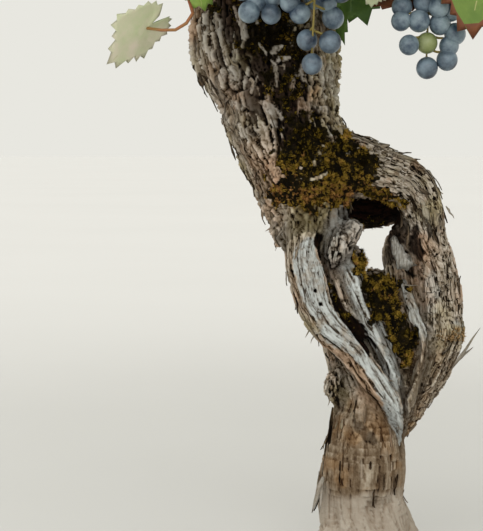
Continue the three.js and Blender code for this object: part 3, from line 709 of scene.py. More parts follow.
def grid_distance(axes, route, depth):
    """Distance from each grid point to a chain of tapering capsules. Where a strand is shallow, y is
    stretched first."""
    x, y, z = axes[0][:, None, None], axes[1][None, :, None] / depth, axes[2][None, None, :]
    best = np.full((len(axes[0]), len(axes[1]), len(axes[2])), 1e6, np.float32)
    rows = route.astype(np.float32).copy()
    rows[:, 1] /= depth
    for a, b in zip(rows[:-1], rows[1:]):
        axis = b[:3] - a[:3]
        length2 = axis @ axis
        dx, dy, dz = x - a[0], y - a[1], z - a[2]
        dot = dx * axis[0] + dy * axis[1] + dz * axis[2]
        t = np.clip(dot / length2, 0, 1)
        away2 = dx * dx + dy * dy + dz * dz - 2 * t * dot + t * t * length2
        np.minimum(best, np.sqrt(np.maximum(away2, 0)) - (a[3] + (b[3] - a[3]) * t), out=best)
    return best


def trunk_field(pitch):
    """The trunk as signed distances on a grid, and the grid's first corner. The strands are joined one
    by one by soft minimums, and the grooves are cut by soft maximums."""
    low = FIELD_LOW
    axes = [np.arange(a, b, pitch, dtype=np.float32) for a, b in zip(low, FIELD_HIGH)]
    field = np.full([len(a) for a in axes], FIELD_FAR, np.float32)
    jobs = [(route, depth, soft, False) for route, depth, soft, _ in STRANDS]
    for route, depth, soft, cut in jobs + [(route, 1.0, CUT_SOFTNESS, True) for route in CUTS]:
        route = smooth_route(route)
        reach = route[:, 3:4] + soft + FIELD_MARGIN
        first = np.maximum(((route[:, :3] - reach).min(0) - low) / pitch, 0).astype(int)
        last = (((route[:, :3] + reach).max(0) - low) / pitch).astype(int) + 2
        block = tuple(slice(a, b) for a, b in zip(first, last))
        gap = grid_distance([axis[part] for axis, part in zip(axes, block)], route, depth)
        field[block] = -smaller(-field[block], gap, soft) if cut else smaller(field[block], gap, soft)
    ground = -axes[2][None, None, :] + 0 * field
    return np.maximum(field, ground), low


def surface(field, low, pitch):
    """The zero surface of a field as quads. Each cell that it crosses gets the mean of the crossings on
    its edges, and each grid edge that it crosses gets a quad of the four cells round it."""
    inside = field < 0
    shape = np.array(field.shape) - 1
    corners = list(np.ndindex(2, 2, 2))
    parts = [inside[tuple(slice(c, c + n) for c, n in zip(corner, shape))] for corner in corners]
    some = np.logical_or.reduce(parts)
    mixed = some & ~np.logical_and.reduce(parts)
    cells = np.argwhere(mixed)
    values = [field[tuple((cells + corner).T)] for corner in corners]
    total = np.zeros((len(cells), 3))
    count = np.zeros(len(cells))
    for i, first in enumerate(corners):
        for k, second in enumerate(corners):
            if i >= k or sum(np.abs(np.subtract(first, second))) != 1:
                continue
            crossed = (values[i] < 0) != (values[k] < 0)
            share = np.where(crossed, values[i] / np.where(crossed, values[i] - values[k], 1), 0)
            total += crossed[:, None] * (np.array(first) + share[:, None] * np.subtract(second, first))
            count += crossed
    verts = low + pitch * (cells + total / count[:, None])
    number = np.full(shape, -1)
    number[mixed] = np.arange(len(cells))
    quads = []
    for axis in range(3):
        near = [slice(1, -1)] * 3
        far = list(near)
        near[axis], far[axis] = slice(0, -1), slice(1, None)
        here, there = inside[tuple(near)], inside[tuple(far)]
        at = np.argwhere(here != there)
        leaving = here[tuple(at.T)]
        at += [0 if k == axis else 1 for k in range(3)]
        u, v = np.eye(3, dtype=int)[(axis + 1) % 3], np.eye(3, dtype=int)[(axis + 2) % 3]
        quad = np.stack([number[tuple((at - step).T)] for step in (u * 0, u, u + v, v)], -1)
        quads.append(np.where(leaving[:, None], quad, quad[:, ::-1]))
    return verts, np.vstack(quads)


def point_normals(verts, quads):
    """Each quad's area vector, from its diagonals, summed at its corners."""
    a, b, c, d = (verts[quads[:, k]] for k in range(4))
    areas = np.cross(c - a, d - b)
    corners = quads.ravel()
    total = [np.bincount(corners, np.repeat(areas[:, k], 4), len(verts)) for k in range(3)]
    return unit(np.stack(total, -1))


def fibre_place(points, route, depth):
    """Where points lie on a strand: the gap to its surface, the grain vector, which is the two offsets
    across the strand and the distance along it, and the way that the fibres run."""
    _, side, across = carried_frames(route[:, :3])
    lengths = np.concatenate(((0,), np.cumsum(np.linalg.norm(np.diff(route[:, :3], axis=0), axis=1))))
    gap = np.full(len(points), 1e6)
    grain, run = np.zeros((len(points), 3)), np.zeros((len(points), 3))
    squeeze = np.array((1, 1 / depth, 1))
    for i in range(len(route) - 1):
        axis = route[i + 1, :3] - route[i, :3]
        t, away = from_segment(points, route[i, :3], route[i + 1, :3])
        offset = away * squeeze
        reach = np.sqrt((offset ** 2).sum(-1)) - (route[i, 3] + (route[i + 1, 3] - route[i, 3]) * t)
        closer = reach < gap
        gap = np.where(closer, reach, gap)
        turned = [(offset * (way[i] + t[:, None] * (way[i + 1] - way[i]))).sum(-1) for way in (side, across)]
        here = np.stack((*turned, lengths[i] + t * np.linalg.norm(axis)), -1)
        grain = np.where(closer[:, None], here, grain)
        run = np.where(closer[:, None], unit(axis), run)
    return gap, grain, run


def bark_height(grain, kind, seed):
    """Height of the bark, a random number for each plate, and where the point lies among the fine crumbs.
    Plates lean and stand at their own heights, each kept from the next by a gap. Flakes lie on them in
    layers, floor(t) + a steep step up to the next whole number, over lumps and under fine fibres, and long
    splits follow the lines where a noise is 0."""
    size = BARK[kind]
    across, along = size["across"], size["along"]
    cell = np.array((across, across, along))
    bend = np.stack([noise(grain / BEND_SCALE, seed + k) for k in range(3)], -1) * BEND_SIZE
    bend += RIPPLE_SIZE * np.stack([noise(grain / RIPPLE_SCALE, seed + 20 + k) for k in range(3)], -1)
    slip = noise(grain / (across * 1.2, across * 1.2, along * 2), seed + 3)
    places = grain + size["wild"] * bend * cell + slip[:, None] * (0, 0, 1.6 * along)
    gap, tone, offset = plates(places / cell, seed + 5)
    rise = soft_step(gap, 0.02, 0.22)
    lean = offset[:, 2] + 1.4 * (tone - 0.5) * offset[:, 0]
    height = size["step"] * (rise * (0.35 + 0.65 * tone) - 0.5) + rise * lean * size["tilt"]
    layer = 2.2 * layered(places, cell * 0.62, cell * 0.3, 0.55, seed + 6)
    height += size["layer"] * (np.floor(layer) + soft_step(layer % 1, 0, 0.4)) * 0.45
    split = layered(places, cell * (0.75, 0.75, 0.8), cell * (0.3, 0.3, 0.36), 0.6, seed + 8, 2)
    height -= size["split"] * soft_step(0.17 - np.abs(split), 0, 0.17)
    fibre = 1 - 2 * np.abs(noise(places / FIBRE_SCALE, seed + 9))
    fibre = fibre * 0.6 + 0.4 * noise(places / SPLINTER_SCALE, seed + 11)
    lumps = layered(grain, LUMP_SCALE, KNOB_SCALE, 0.5, seed + 13, 2)
    fine, fine_along = size["fine"]
    crumbs = (grain + 0.6 * size["wild"] * bend * cell) / (fine, fine, fine_along) + seed
    return height + size["fibre"] * fibre + size["lump"] * lumps, tone, crumbs


def coat_cover(points, patches, seed, ragged=1.0):
    """How thickly patches cover the points: each reaches out from its route to a ragged edge."""
    cover = np.zeros(len(points))
    for stations, thickness in patches:
        route = smooth_route(stations, 4)
        gap = np.full(len(points), 1e6)
        for a, b in zip(route[:-1], route[1:]):
            t, away = from_segment(points, a[:3], b[:3])
            gap = np.minimum(gap, np.linalg.norm(away, axis=1) / (a[3] + (b[3] - a[3]) * t))
        near = gap < 2
        rim = ragged * (0.28 * noise(points[near] / 7, seed) + 0.16 * noise(points[near] / 2.5, seed + 1))
        cover[near] = np.maximum(cover[near], thickness * soft_step(1.12 - gap[near] - rim, 0, 0.26))
    return cover


def flake_cover(points, normals):
    """How far pale flakes cover the head's face: the distance from each flake's middle line, seen from
    the front, over a half width that shrinks to both ends, with a ragged edge."""
    front = (normals[:, 1] < -0.1) & (points[:, 2] > 240)
    seen = points[front][:, ::2] + 0.9 * np.stack([noise(points[front] / 4, 84 + k) for k in range(2)], -1)
    near = np.full(len(seen), 9.0)
    for stations, half in FLAKES:
        route = smooth_route(stations, 3)
        share = np.linspace(0, 1, len(route))
        width = half * np.sqrt(np.maximum(1 - (2 * share - 1) ** 2, 0.08))
        for a, b, reach in zip(route[:-1], route[1:], (width[:-1] + width[1:]) / 2):
            near = np.minimum(near, np.linalg.norm(from_segment(seen, a, b)[1], axis=1) / reach)
    near += 0.35 * noise(points[front] / 1.8, 87)
    cover = np.zeros(len(points))
    cover[front] = soft_step(1.2 - near, 0, 0.5)
    return cover


def blurred(values, quads, rounds):
    """Values on points, each round replaced by the mean of the quads round the point."""
    corners = quads.ravel()
    count = np.maximum(np.bincount(corners, minlength=len(values)), 1)
    for _ in range(rounds):
        means = np.repeat(values[quads].mean(1), 4)
        values = np.bincount(corners, means, len(values)) / count
    return values


@lru_cache(maxsize=None)
def carved_trunk(pitch):
    """The whole trunk's points, quads, normals, way of the fibres and what its material reads."""
    field, low = trunk_field(pitch)
    verts, quads = surface(field, low, pitch)
    normals = point_normals(verts, quads)
    spots = [(*fibre_place(verts, smooth_route(route), depth), BARK[kind], kind)
             for route, depth, _, kind in STRANDS]
    gaps = np.stack([spot[0] for spot in spots])
    weights = np.exp(-(gaps - gaps.min(0)) / STRAND_BLEND)
    weights[weights < STRAND_LEAST] = 0
    weights /= weights.sum(0)
    height, tone, bare, depth, cracked, pale = (np.zeros(len(verts)) for _ in range(6))
    grain, run, cells = (np.zeros_like(verts) for _ in range(3))
    for i, (_, place, way, size, kind) in enumerate(spots):
        mine = weights[i] > 0
        share = weights[i][mine]
        up, pick, crumbs = bark_height(place[mine], kind, STRAND_SEED + 20 * i)
        for row, value in ((height, up), (tone, pick), (bare, size["bare"]), (depth, size["depth"]),
                           (cracked, size["crack"]), (pale, size["pale"])):
            row[mine] += share * value
        for row, value in ((cells, crumbs), (grain, place[mine]), (run, way[mine])):
            row[mine] += share[:, None] * value
    shown = coat_cover(verts, BARE, 60)
    ridges = 1 - 2 * np.abs(noise(grain / RIDGE_SCALE, 62)) + 0.6 * noise(grain / THREAD_SCALE, 64)
    height = height * (1 - 0.45 * shown) + shown * ridges * (0.4 + 0.3 * soft_step(176 - verts[:, 2], 0, 16))
    bare = np.maximum(bare, shown)
    moss = coat_cover(verts, MOSS, 70, 2.2)
    moss = np.clip(moss * (1 + 0.5 * noise(verts / 6, 72)), 0, 1)
    flakes = flake_cover(verts, normals)
    # Painted shade in the hollows, the grooves and on the head's face under the crown, lifted off the pale flakes and
    # pale plates
    dark = coat_cover(verts, PAINTED_SHADE, 80, 1.5)
    dark *= 1 - np.maximum(0.7 * flakes, 0.8 * soft_step(tone, 0.7, 0.95) * (verts[:, 2] > 290))
    height = height * (1 - 0.4 * moss) + moss * (0.6 + 1.3 * noise(verts / 3.5, 73))
    height += FLAKE_RISE * flakes
    bare = np.maximum(bare, 0.2 * flakes)
    tone = np.maximum(tone, flakes)
    moss = moss * (1 - 0.8 * flakes)
    # Beetle holes are sunk into the bark, and painted shade darkens each of them
    for x, y, z, radius in BEETLE_HOLES:
        away = np.linalg.norm(verts - (x, y, z), axis=1)
        hole = soft_step(radius * 1.6 - away, 0, radius * 0.6)
        height -= HOLE_DEPTH * hole
        dark = np.maximum(dark, hole)
    height -= 0.8 * dark
    height *= soft_step(verts[:, 2], 0, 4)
    # The colour runs from dark in the gaps to pale on the raised plates: partly painted shade in the gaps, partly the
    # bark's own darker furrows
    relief = 0.5 + pale + (height - blurred(height, quads, RELIEF_ROUNDS)) / depth
    verts = verts + normals * height[:, None]
    verts[:, 2] = np.where(verts[:, 2] < 0.6, 0, verts[:, 2])
    on_limb = 0.75 * soft_step(verts[:, 0], 16, 28)
    earthy = np.maximum(soft_step(EARTHY_TOP - verts[:, 2], 0, 30),
                        on_limb * soft_step(EARTHY_LIMB_TOP - verts[:, 2], 0, 30))
    worn = soft_step(WORN_TOP + 5 * noise(verts / 9, 90) - verts[:, 2], 0, 9)
    return verts, quads, point_normals(verts, quads), unit(run), dict(
        relief=relief, tone=tone, bare=bare, moss=moss, dark=dark, earthy=earthy, worn=worn, grain=grain,
        cells=cells, cracked=cracked)


def rim_loops(quads):
    """The closed loops of open edges round a set of quads, as lists of point numbers. An edge is open
    where no quad holds it the other way round."""
    edges = np.stack((quads, np.roll(quads, -1, 1)), -1).reshape(-1, 2)
    size = edges.max() + 1
    codes, back = edges @ (size, 1), edges @ (1, size)
    open_edges = edges[~np.isin(codes, back)]
    following = {}
    for start, end in open_edges.tolist():
        following.setdefault(start, []).append(end)
    loops = []
    while following:
        start = next(iter(following))
        loop, here = [], start
        while here in following:
            loop.append(here)
            ends = following[here]
            after = ends.pop()
            if not ends:
                del following[here]
            here = after
        loops.append(loop)
    return loops


def trunk_part(name, lowest, highest, *nodes):
    """The carved trunk between two heights, closed by a hidden cap at each cut."""
    verts, quads, normals, _, stored = carved_trunk(sizes().bark_pitch)
    middle = verts[:, 2][quads].mean(1)
    mine = quads[(middle >= lowest) & (middle < highest)]
    used = np.unique(mine)
    number = np.full(len(verts), -1)
    number[used] = np.arange(len(used))
    mine = number[mine]
    points, faces, hubs = verts[used], [mine], []
    for loop in rim_loops(mine):
        faces.append(faces_of(np.roll(loop, -1), loop, len(used) + len(hubs)))
        hubs.append(points[loop].mean(0))
    piece = put_mesh(name, np.vstack((points, *hubs)), faces, [bark_finish()])
    put_values(piece, **{key: np.concatenate((values[used], np.zeros((len(hubs), *values.shape[1:]))))
                         for key, values in stored.items()})
    custom = np.vstack((normals[used], np.tile((0, 0, 1.0), (len(hubs), 1))))
    piece.data.normals_split_custom_set_from_vertices(custom.tolist())
    settle(piece, "bark", *nodes)


# What clings to the trunk

def strip_mesh(pile, line, faces_out, width, thick, wave, look):
    """A strip of bark along a line: two skins that meet in thin edges, curled up at both sides. Its look
    is its relief, its tone, how bare it is and a start for its grain. Returns these for its points."""
    count = len(line)
    ahead = unit(np.gradient(line, axis=0))
    side = unit(np.cross(ahead, faces_out))
    share = np.linspace(0, 1, count)
    half = width / 2 * soft_step(0.5 - np.abs(share - 0.5), -0.12, 0.2) * (1 + wave)
    rows = []
    for across, lift in ((-1, 0.35), (0, 0.0), (1, 0.35), (0, -1.0)):
        rows.append(line + side * (across * half)[:, None] + faces_out * (lift * thick))
    verts = np.stack(rows, 1).reshape(-1, 3)
    quads = np.roll(ring_quads(count, 4)[:, ::-1], 1, 1)
    ends = np.array(((0, 1, 2, 3), (3, 2, 1, 0))) + np.array(((0,), ((count - 1) * 4,)))
    pile.add(verts, np.vstack((quads, ends)))
    length = np.repeat(share * np.linalg.norm(line[-1] - line[0]), 4)
    *plain, start = look
    grain = np.stack((np.tile((-2.0, 0, 2.0, 0), count) + start, np.full(len(verts), start), length), -1)
    return [np.full(len(verts), value) for value in plain] + [grain]


@lru_cache(maxsize=None)
def bark_finder():
    """A search tree over the carved trunk's points."""
    verts = carved_trunk(sizes().bark_pitch)[0]
    tree = KDTree(len(verts))
    for i, place in enumerate(verts.tolist()):
        tree.insert(place, i)
    tree.balance()
    return tree


def follow_bark(start, pace, count, lift, curl):
    """A line of points over the bark from one of its points, along the fibres, lifting off at its end."""
    verts, _, normals, run, _ = carved_trunk(sizes().bark_pitch)
    tree = bark_finder()
    i, line, out = start, [], []
    for step in range(count):
        share = step / (count - 1)
        line.append(verts[i] + normals[i] * (lift + curl * share ** 2.5))
        out.append(normals[i])
        i = tree.find(verts[i] + run[i] * pace)[1]
    return np.array(line), unit(np.array(out).mean(0) + np.array(out) * 0.6)


def add_strips():
    """Strips that peel from the bark, splinters and the loose flake, as one piece."""
    verts, _, _, _, stored = carved_trunk(sizes().bark_pitch)
    rng = np.random.default_rng(STRIP_SEED)
    # Strips keep off the moss, the bare wood and the patches of painted shade
    bark = (stored["moss"] < 0.12) & (stored["bare"] < 0.4) & (stored["dark"] < 0.3)
    bark &= (verts[:, 2] > 45) & (verts[:, 2] < 424)
    on_head = verts[:, 2] > HEAD_FLOOR
    shaggy = np.where(on_head, 3.0, np.where(verts[:, 0] > 30, 0.6, 1.0)) * bark
    pile, looks = Pile(), []
    for start in rng.choice(len(verts), sizes().strips, p=shaggy / shaggy.sum()):
        longest, widest = (4.6, 4.2) if on_head[start] else (3.4, 2.0)
        pace = rng.uniform(1.4, longest) * (1 if rng.random() < 0.5 else -1)
        line, out = follow_bark(start, pace, 6, rng.uniform(0.1, 0.7), rng.uniform(0, 2.6) ** 1.5)
        width, wave = rng.uniform(1.2, widest), rng.uniform(-0.4, 0.4, 6)
        look = rng.uniform(0.2, 0.62), rng.random(), 0.2 * (rng.random() < 0.3), rng.uniform(0, GRAIN_START)
        looks.append(strip_mesh(pile, line, out, width, 0.45, wave, look))
    for first, last, width, bare in SPLINTERS:
        share = np.linspace(0, 1, 5)[:, None]
        line = np.array(first) * (1 - share) + np.array(last) * share
        line = line + rng.uniform(-0.4, 0.4, line.shape)
        look = 0.55 if bare else 0.22, 0.3, bare, rng.uniform(0, GRAIN_START)
        looks.append(strip_mesh(pile, line, np.tile((0.0, -1.0, 0.2), (5, 1)), width, min(width * 0.6, 1.6),
                                np.linspace(0.3, -0.7, 5), look))
    looks.append(loose_flake(pile))
    piece = pile.build("bark_strips", [bark_finish()])
    relief, tone, bare, grain = (np.concatenate(rows) for rows in zip(*looks))
    put_values(piece, relief=relief, tone=tone, bare=bare, grain=grain, cells=grain / (2.4, 2.4, 12),
               cracked=0 * tone + 0.2)
    settle(piece, "bark")


def loose_flake(pile):
    """The ragged flake beside the window: its outline on a slanting plane, with a raised hub in front and
    another behind. Returns its points' relief, tone, bareness and grain."""
    rim = np.array(LOOSE_FLAKE)
    hub = rim.mean(0)
    inner = hub + 0.55 * (rim - hub) + np.random.default_rng(FLAKE_SEED).normal(0, 0.5, rim.shape)
    flat = np.vstack((rim, inner, hub, hub))
    depth = FLAKE_DEPTH + 0.12 * (flat[:, 1] - hub[1]) + 0.1 * (flat[:, 0] - hub[0])
    depth = depth - np.repeat((0.0, 1.0, 1.5, -1.2), (len(rim), len(rim), 1, 1))
    count = len(rim)
    k, after = around(count)
    faces = np.vstack((faces_of(k, after, count + after), faces_of(k, count + after, count + k),
                       faces_of(count + k, count + after, 2 * count), faces_of(after, k, 2 * count + 1)))
    pile.add(np.column_stack((flat[:, 0], depth, flat[:, 1])), faces)
    grain = np.column_stack((flat[:, 0], 0 * depth, flat[:, 1]))
    return [np.full(len(flat), value) for value in (0.4, 0.6, 0.75)] + [grain]


def spike_shape(blades):
    """A tuft: blades of four faces each, spread round the third axis, with a tip of height 1."""
    verts, faces = [], []
    for k in range(blades):
        angle, lean = 2 * math.pi * (k + 0.3 * (k % 2)) / blades, 0.25 + 0.5 * (k % 3) / 2
        foot = np.array((math.cos(angle), math.sin(angle), 0)) * 0.16
        tip = np.array((math.cos(angle) * lean, math.sin(angle) * lean, 1 - 0.25 * (k % 2)))
        turn = np.array((-math.sin(angle), math.cos(angle), 0)) * 0.13
        verts += [foot + turn, foot - turn, foot * 0.2 - (0, 0, 0.1), tip]
        faces += [(4 * k, 4 * k + 1, 4 * k + 2), (4 * k, 4 * k + 3, 4 * k + 1),
                  (4 * k + 1, 4 * k + 3, 4 * k + 2), (4 * k + 2, 4 * k + 3, 4 * k)]
    return np.array(verts), np.array(faces)


def add_moss():
    """Tufts of moss in clumps over the mossy bark, in tints that drift from place to place, and a fuzz of
    straw-coloured fibres on the limb."""
    verts, _, normals, _, stored = carved_trunk(sizes().bark_pitch)
    rng = np.random.default_rng(TUFT_SEED)
    clump = soft_step(layered(verts, 4.5, 2, 0.5, 78), -0.5, 0.3)
    fuzz = coat_cover(verts, FUZZ, 77)
    weight = (stored["moss"] ** 1.5 * (0.15 + clump) + 0.9 * fuzz) * (verts[:, 2] > 3)
    picked = rng.choice(len(verts), sizes().tufts, p=weight / weight.sum())
    place, out = verts[picked], normals[picked]
    out = unit(out + rng.normal(0, 0.4, out.shape) + (0, 0, 0.25))
    side = unit(np.cross(out, rng.normal(0, 1, out.shape)))
    size = rng.uniform(1.1, 2.9, len(picked)) * (0.5 + 0.7 * clump[picked])
    shape, faces = spike_shape(5)
    axes = np.stack((side, np.cross(out, side), out), 1)
    points = place[:, None] + np.einsum("pk,nkc->npc", shape, axes) * size[:, None, None]
    drift = 0.8 * noise(place / 9, 75) + 0.6 * noise(place / 3.5, 76) + rng.normal(0, 0.3, len(picked))
    low = soft_step(276 - place[:, 2], 0, 24) * 0.8 * (place[:, 2] > HEAD_FLOOR)
    shade = np.digitize(drift + low, (-0.15, 0.35, 1.0))
    # Painted shade: inside the patches of painted shade the tufts take only the dark and olive tints
    shade = np.where(stored["dark"][picked] > 0.45, np.minimum(shade, rng.integers(0, 2, len(picked))), shade)
    shade = np.where(fuzz[picked] > 0.1, STRAW, shade)
    pile = Pile()
    pile.add_copies(points, faces, np.repeat(shade[:, None], len(faces), 1))
    piece = pile.build("moss_tufts", [moss_finish(*row) for row in MOSS_TINTS])
    put_values(piece, tip=np.tile(np.clip(shape[:, 2], 0, 1), len(points)))
    settle(piece, "moss")


# The arms and what grows from them

def heading(turn, rise):
    """A unit vector from a turn about the upright axis and a rise above the horizon, in degrees."""
    turn, rise = math.radians(turn), math.radians(rise)
    return np.array((math.cos(rise) * math.cos(turn), math.cos(rise) * math.sin(turn), math.sin(rise)))


def arm_route(turn, rise, reach, i):
    """Stations of one arm: straight out from the head's top, with a kink to one side and a sag."""
    way, across = heading(turn, rise), heading(turn + 90, 0)
    stations = []
    for share, lift, swell in ((0, -ARM["sink"], 1.12), (0.3, -ARM["kink"], 1), (0.55, -0.6 * ARM["kink"], 0.92),
                               (0.8, 0, 1.08), (1, 0, 1)):
        kink = ARM["kink"] * (chance(31, i) - 0.5) * math.sin(math.pi * share)
        place = HEAD_TOP + way * (ARM["root"] + reach * share) + across * kink + (0, 0, lift)
        radius = ARM["root_radius"] + (ARM["tip_radius"] - ARM["root_radius"]) * share
        stations.append((*place, radius * swell))
    return np.array(stations)


@lru_cache(maxsize=None)
def masses():
    """The crown's seven masses: name, whether it is the leader's, turn, number and arm."""
    made = []
    for i, name in enumerate(RING_NAMES + ("leader",)):
        leader = name == "leader"
        turn = 90 if leader else FIRST_TURN + RING_TURN * i
        rise, reach = (LEADER_RISE, LEADER_REACH) if leader else (RING_RISE[i], ARM["reach"])
        made.append(dict(name=name, leader=leader, turn=turn, index=i, route=arm_route(turn, rise, reach, i)))
    return made


def in_space(mass, points):
    """True for each point that keeps to its mass's own space: a wedge, or a cone for the leader's."""
    x, y = points[..., 0] - HEAD_TOP[0], points[..., 1] - HEAD_TOP[1]
    flat = np.hypot(x, y)
    cone = CONE["radius"] + CONE["slope"] * (points[..., 2] - CONE["start"])
    if mass["leader"]:
        return flat < cone - SPACE_MARGIN
    kept = flat >= cone + CONE_MARGIN
    for hand in (-1, 1):
        edge = heading(mass["turn"] + hand * RING_TURN / 2, 0)
        kept &= hand * (edge[1] * x - edge[0] * y) > SPACE_MARGIN
    return kept


@lru_cache(maxsize=None)
def wood_points():
    """Points and reach of all thick wood, for keeping leaves and bunches off it."""
    rows = []
    for route in [np.array(r, float) for r in (HEAD, LOOP, LIP)] + [m["route"] for m in masses()]:
        line = smooth_route(route, 8)
        rows.append(np.column_stack((line[:, :3], np.full(len(line), min(route[:, 3].max(), 50)))))
    return np.vstack(rows)


def touches_wood(points, margin):
    """True for each point that comes nearer than the margin to thick wood."""
    rows = wood_points()
    away = np.linalg.norm(points[..., None, :] - rows[:, :3], axis=-1)
    return (away < rows[:, 3] + margin).any(-1)


def shoot_joints(mass, k, start):
    """A shoot's joints: it climbs, then arches over, with a zigzag from joint to joint."""
    first_rise = (LEADER_START if mass["leader"] else RING_START)[(k + mass["index"]) % SHOOTS]
    fan = 360 / SHOOTS * k if mass["leader"] else FAN * (k - 1)
    joints = [start]
    for j in range(JOINTS):
        t = j / (JOINTS - 1)
        seed = 100 + mass["index"] * 10 + k
        turn = mass["turn"] + fan + ZIGZAG * (1 if j % 2 else -1) + WANDER * (chance(seed, j) - 0.5) * 2
        rise = first_rise + LIFT * math.sin(math.pi * t) - FALL * t ** 3
        joints.append(joints[-1] + heading(turn, rise) * JOINT_LENGTH)
    joints = np.array(joints)
    inside = in_space(mass, joints) | (np.linalg.norm(joints - start, axis=1) < JOINT_LENGTH)
    if not inside.all():
        joints = joints[:np.argmin(inside)]
    return joints


def leaf_frame(root, way, face, width, stalk):
    """A leaf's joint, its axes across and along the blade, its upper side and its size."""
    face = unit(face)
    joint = root + way * stalk
    along = way + (0, 0, -0.7)
    along = unit(along - face * (along @ face))
    return dict(root=root, joint=joint, wide=np.cross(along, face), along=along, face=face, width=width)


def shown_leaf(joint, tip, depth, face, width, blade, under, turned, root, stalk):
    """A leaf where the photo shows it, hanging on its own stalk from an arm."""
    foot, end = from_photo(*joint, depth), from_photo(*tip, depth)
    face = unit(np.array(face, float))
    along = end - foot
    along = unit(along - face * (along @ face))
    path = np.vstack([root] + [from_photo(*place, depth) for place in stalk] + [foot])
    return dict(root=path[0], joint=foot, wide=np.cross(along, face), along=along, face=face, width=width,
                middle=foot + along * 0.12 * width, seed=int(width * 7 + depth), blade=blade, under=under,
                turned=turned, path=path)


def place_leaf(mass, root, ahead, hand, size, seed, kept):
    """A leaf that faces out from the crown, tried at a few angles until it keeps to its space and clear
    of the others. It is added to those kept."""
    outward = unit(root - (HEAD_TOP[0], HEAD_TOP[1], root[2] - 260))
    spots = np.array(((0.36, -0.2), (0.5, 0.26), (0, 0.76), (-0.5, 0.26), (-0.36, -0.2), (0, 0.12)))
    for n in range(LEAF_TRIES):
        roll = [chance(seed, 10 * n + i) - 0.5 for i in range(10)]
        side = unit(np.array((ahead[1], -ahead[0], 0)))
        way = unit(side * hand * (0.35 if n % 2 else 0.8) + outward * (0.5 + 0.5 * roll[1])
                   + (0.5 * roll[2], 0.5 * roll[3], 0.2 + 0.5 * roll[4]))
        face = outward + (0.9 * roll[5], 0.9 * roll[6], 0.35 + 0.7 * roll[7])
        face = face - way * 0.55 * (face @ way)
        width = (LEAF["width"] + LEAF["spread"] * 2 * roll[8]) * size
        leaf = leaf_frame(root, way, face, width, LEAF["stalk"] * size * (1 + 0.5 * roll[9]))
        blade = leaf["joint"] + spots[:, :1] * width * leaf["wide"] + spots[:, 1:] * width * leaf["along"]
        if not in_space(mass, blade).all() or touches_wood(blade, 3).any():
            continue
        if kept and min(np.linalg.norm(other["middle"] - blade[5]) / (other["width"] + width)
                        for other in kept) < LEAF_ROOM:
            continue
        leaf.update(middle=blade[5], seed=seed)
        kept.append(leaf)
        return


@lru_cache(maxsize=None)
def grown(name):
    """All that grows from one arm's tip: its stem, shoots, side shoots, leaves and bunches."""
    mass = next(m for m in masses() if m["name"] == name)
    tip, ahead = mass["route"][-1, :3], unit(mass["route"][-1, :3] - mass["route"][-2, :3])
    fork = tip + ahead * (CLEARANCE + STEM_LENGTH - ARM["sink"])
    canes, sides, bunches, buds = [], [], [], []
    for k in range(SHOOTS):
        joints = shoot_joints(mass, k, fork)
        canes.append(joints)
        shoot = mass["index"] * SHOOTS + k
        for j in range(1, len(joints)):
            hand = 1 if j % 2 else -1
            way = unit(joints[j] - joints[j - 1])
            seed = 1000 + shoot * 40 + j
            buds.append((joints[j], way, hand, 1 - 0.4 * j / JOINTS, seed))
            if j < JOINTS - 1:
                full = j % 3 == 1
                add_side_shoot(mass, joints[j], way, -hand, seed + 20, full, sides, buds)
                add_side_shoot(mass, (joints[j] + joints[j - 1]) / 2, way, hand, seed + 47, False, sides, buds)
        if shoot not in BARE_SHOOTS and len(joints) > 2:
            size = 0.8 + 0.4 * chance(77, shoot)
            out = heading(mass["turn"] + 60 * (chance(78, shoot) - 0.5), 0)
            top = joints[1] + out * (14 + 22 * chance(79, shoot)) - (0, 0, BUNCH["stalk"])
            middle = top - (0, 0, 0.4 * BUNCH["length"] * size)
            if in_space(mass, middle) and not touches_wood(middle, BUNCH["radius"]):
                bunches.append((joints[1], top, BUNCH["length"] * size, BUNCH["radius"] * size, shoot, None))
    for row, (owner, top, length, radius) in enumerate(LOW_BUNCHES):
        if owner == name:
            bunches.append((fork, np.array(top, float), length, radius, 50 + row, row))
    kept = [shown_leaf(**shown) for owner, shown in SHOWN_LEAVES if owner == name]
    for bud in buds:
        place_leaf(mass, *bud, kept)
    return dict(mass=mass, tip=tip, fork=fork, canes=canes, sides=sides, bunches=bunches, leaves=kept)


def add_side_shoot(mass, start, ahead, hand, seed, full, sides, buds):
    """A short side shoot: the source's own at every third joint, and a finer one at the others."""
    way = unit(np.array((ahead[1], -ahead[0], 0))) * hand + ahead * 0.6 + (0, 0, 0.15)
    way = unit(way + np.array([0, 0, 0.6 * (chance(seed, 3) - 0.3)]) * (not full))
    length = SIDE_LENGTH if full else SIDE_LENGTH * (0.45 + 0.4 * chance(seed, 4))
    points = np.array((start, start + way * length))
    if not in_space(mass, points[1:]).all() or touches_wood(points[1:], 3).any():
        return
    sides.append((points, 3.0 if full else 1.8))
    buds.append((points[1], way, -hand, 0.7 if full else 0.45, seed))
    for share, size in ((0.35, 0.5), (0.66, 0.42)):
        buds.append((start + way * length * share, way, hand, size, seed + int(90 * share)))


# Leaves

# The lobes of a blade of width 1: the angle from its tip, the size and the width, in degrees, and how far
# its teeth stand out. Then the veins: their angle and length
LOBES = ((0, 0.29, 20), (60, 0.16, 17), (114, 0.07, 18))
TOOTH = 0.075
VEINS = ((0, 0.66), (60, 0.48), (-60, 0.48), (114, 0.34), (-114, 0.34))


def blade_bend(u, v, angle, r):
    """How far a blade's face bends out: -0.22 r^2 + 0.035 cos(5 angle) r + 0.05 |u|."""
    return -0.22 * (u * u + v * v) + 0.035 * np.cos(5 * angle) * r + 0.05 * np.abs(u)


